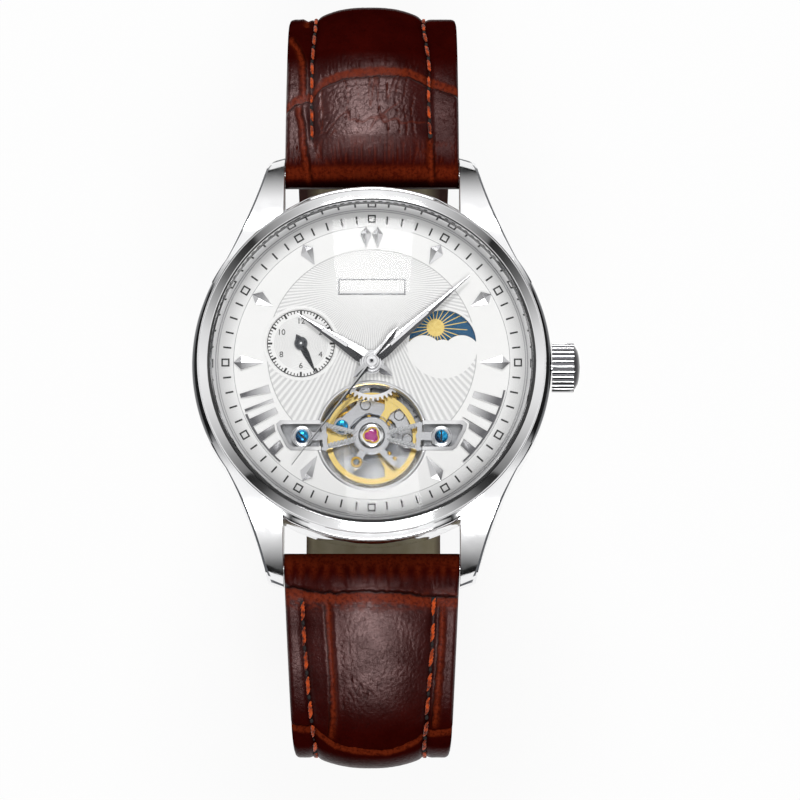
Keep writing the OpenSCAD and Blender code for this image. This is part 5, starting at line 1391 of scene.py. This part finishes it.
# A light tent stands round the watch: white overhead, black flags low down,
# and four pairs of flags whose sharp sides cut the bezel's reflection.
TENT_R = 1.2
TENT, _here = material("light_tent_with_black_flags", "#ffffff", 1.0)
_to = add(TENT, "VectorMath", _here, operation="NORMALIZE")
_east, _north, _high = [add(TENT, "SeparateXYZ", _to, out=k) for k in "XYZ"]
_east = add(TENT, "Math", _east, operation="ABSOLUTE")
_round = add(TENT, "Math", _east, _north, operation="ARCTAN2")
_round = add(TENT, "Math", _round, 1 / pi, operation="MULTIPLY")
_flags = add(TENT, "ValToRGB", _round)
BEZEL_SLOPE = math.radians(20)
# how bright (0 to 255) the bezel is at each angle in degrees from 12
BEZEL_TONES = [(0, 245), (15, 228), (30, 172), (43.2, 112), (44.2, 40), (52, 62), (60, 102), (70, 168),
               (80, 216), (92, 236), (104, 224), (115, 194), (125, 144), (132.2, 118), (133.2, 30),
               (140, 63), (150, 152), (160, 209), (170, 234), (180, 241)]


def seen_at(a):
    """Where in the tent, in degrees from 12, the bezel's slope shows the eye."""
    a = math.radians(a)
    flat_share, up_share = sin(BEZEL_SLOPE), cos(BEZEL_SLOPE)
    mirrored = -away.reflect(Vector((flat_share * sin(a), flat_share * cos(a), up_share)))
    return math.degrees(math.atan2(mirrored.x, mirrored.y))


_ramp = _flags.node.color_ramp
_ramp.elements[0].position, _ramp.elements[1].position = 0, 1
while len(_ramp.elements) < len(BEZEL_TONES):
    _ramp.elements.new(0.5)
for _e, (_a, _v) in zip(_ramp.elements, BEZEL_TONES):
    _e.position = seen_at(_a) / 180
for _e, (_a, _v) in zip(_ramp.elements, BEZEL_TONES):
    _l = ((_v / 255 + 0.055) / 1.055) ** 2.4 * 1.12
    _e.color = (_l, _l, _l, 1)
_flags = add(TENT, "MixRGB", add(TENT, "MapRange", _high, 0.90, 0.97), _flags, "#ffffff")
# the low flags stand higher towards 6 o'clock, black at 12 and 6 and dark grey at the sides
_level = add(TENT, "Math", 1.0, add(TENT, "Math", _high, _high, operation="MULTIPLY"), operation="SUBTRACT")
_level = add(TENT, "Math", _level, 0.5, operation="POWER")
_north, _east = [add(TENT, "Math", k, _level, operation="DIVIDE") for k in (_north, _east)]
_line = add(TENT, "Math", add(TENT, "Math", _north, -0.14, operation="MULTIPLY"), 0.455, operation="ADD")
_over = add(TENT, "Math", _high, _line, operation="SUBTRACT")
_low = add(TENT, "MapRange", add(TENT, "Math", _east, 3.0, operation="POWER"), 0, 1, 0.012, 0.09)
_low = add(TENT, "MapRange", _over, -0.13, 0.17, _low, 1.0)
_lit = add(TENT, "MixRGB", 1.0, _flags, _low, blend_type="MULTIPLY")
end(TENT, add(TENT, "Emission", _lit, 1.0))
TENT.cycles.emission_sampling = "NONE"
bm = bmesh.new()
bmesh.ops.create_uvsphere(bm, u_segments=64, v_segments=32, radius=TENT_R)
sliced(bm, (0, 0, -0.03), (0, 0, 1), closed=False, clear_inner=True)
tent = to_object("light_tent", bm, [TENT], smooth=80, body=None, normals=False)
for _a in ("camera", "diffuse", "transmission", "shadow", "volume_scatter"):
    setattr(tent, "visible_" + _a, False)

world = bpy.data.worlds.new("studio")
bpy.context.scene.world = world
world.use_nodes = True
sky = world.node_tree.nodes["Background"].inputs
sky["Color"].default_value, sky["Strength"].default_value = srgb("#ffffff"), 0.27


def lamp(name, to_it, size, power):
    """A square softbox half a metre away in one direction, aimed at the dial."""
    data = bpy.data.lights.new(name, "AREA")
    data.shape, data.size, data.energy = "SQUARE", size, power
    obj = bpy.data.objects.new(name, data)
    bpy.context.scene.collection.objects.link(obj)
    obj.location = Vector(to_it).normalized() * 0.5
    obj.rotation_mode = "QUATERNION"
    obj.rotation_quaternion = Vector(to_it).to_track_quat("Z", "Y")


lamp("softbox_at_12", (0.0, 0.616, 0.788), 0.17, 1.15)
lamp("softbox_at_6", (0.05, -0.47, 0.88), 0.17, 1.15)

# the camera
aim = Vector((3.19, -4.28, DIAL_Z)) * MM
cam_data = bpy.data.cameras.new("camera")
cam_data.sensor_width = CAM_SENSOR
cam_data.lens = CAM_SENSOR * CAM_DISTANCE / SEEN_WIDTH
cam_data.clip_start, cam_data.clip_end = 0.01, 8
camera = bpy.data.objects.new("camera", cam_data)
bpy.context.scene.collection.objects.link(camera)
camera.location = aim + away * CAM_DISTANCE
camera.rotation_mode = "QUATERNION"
camera.rotation_quaternion = (-away).to_track_quat("-Z", "Y")
bpy.context.scene.camera = camera
bpy.context.scene.view_settings.view_transform = "Standard"
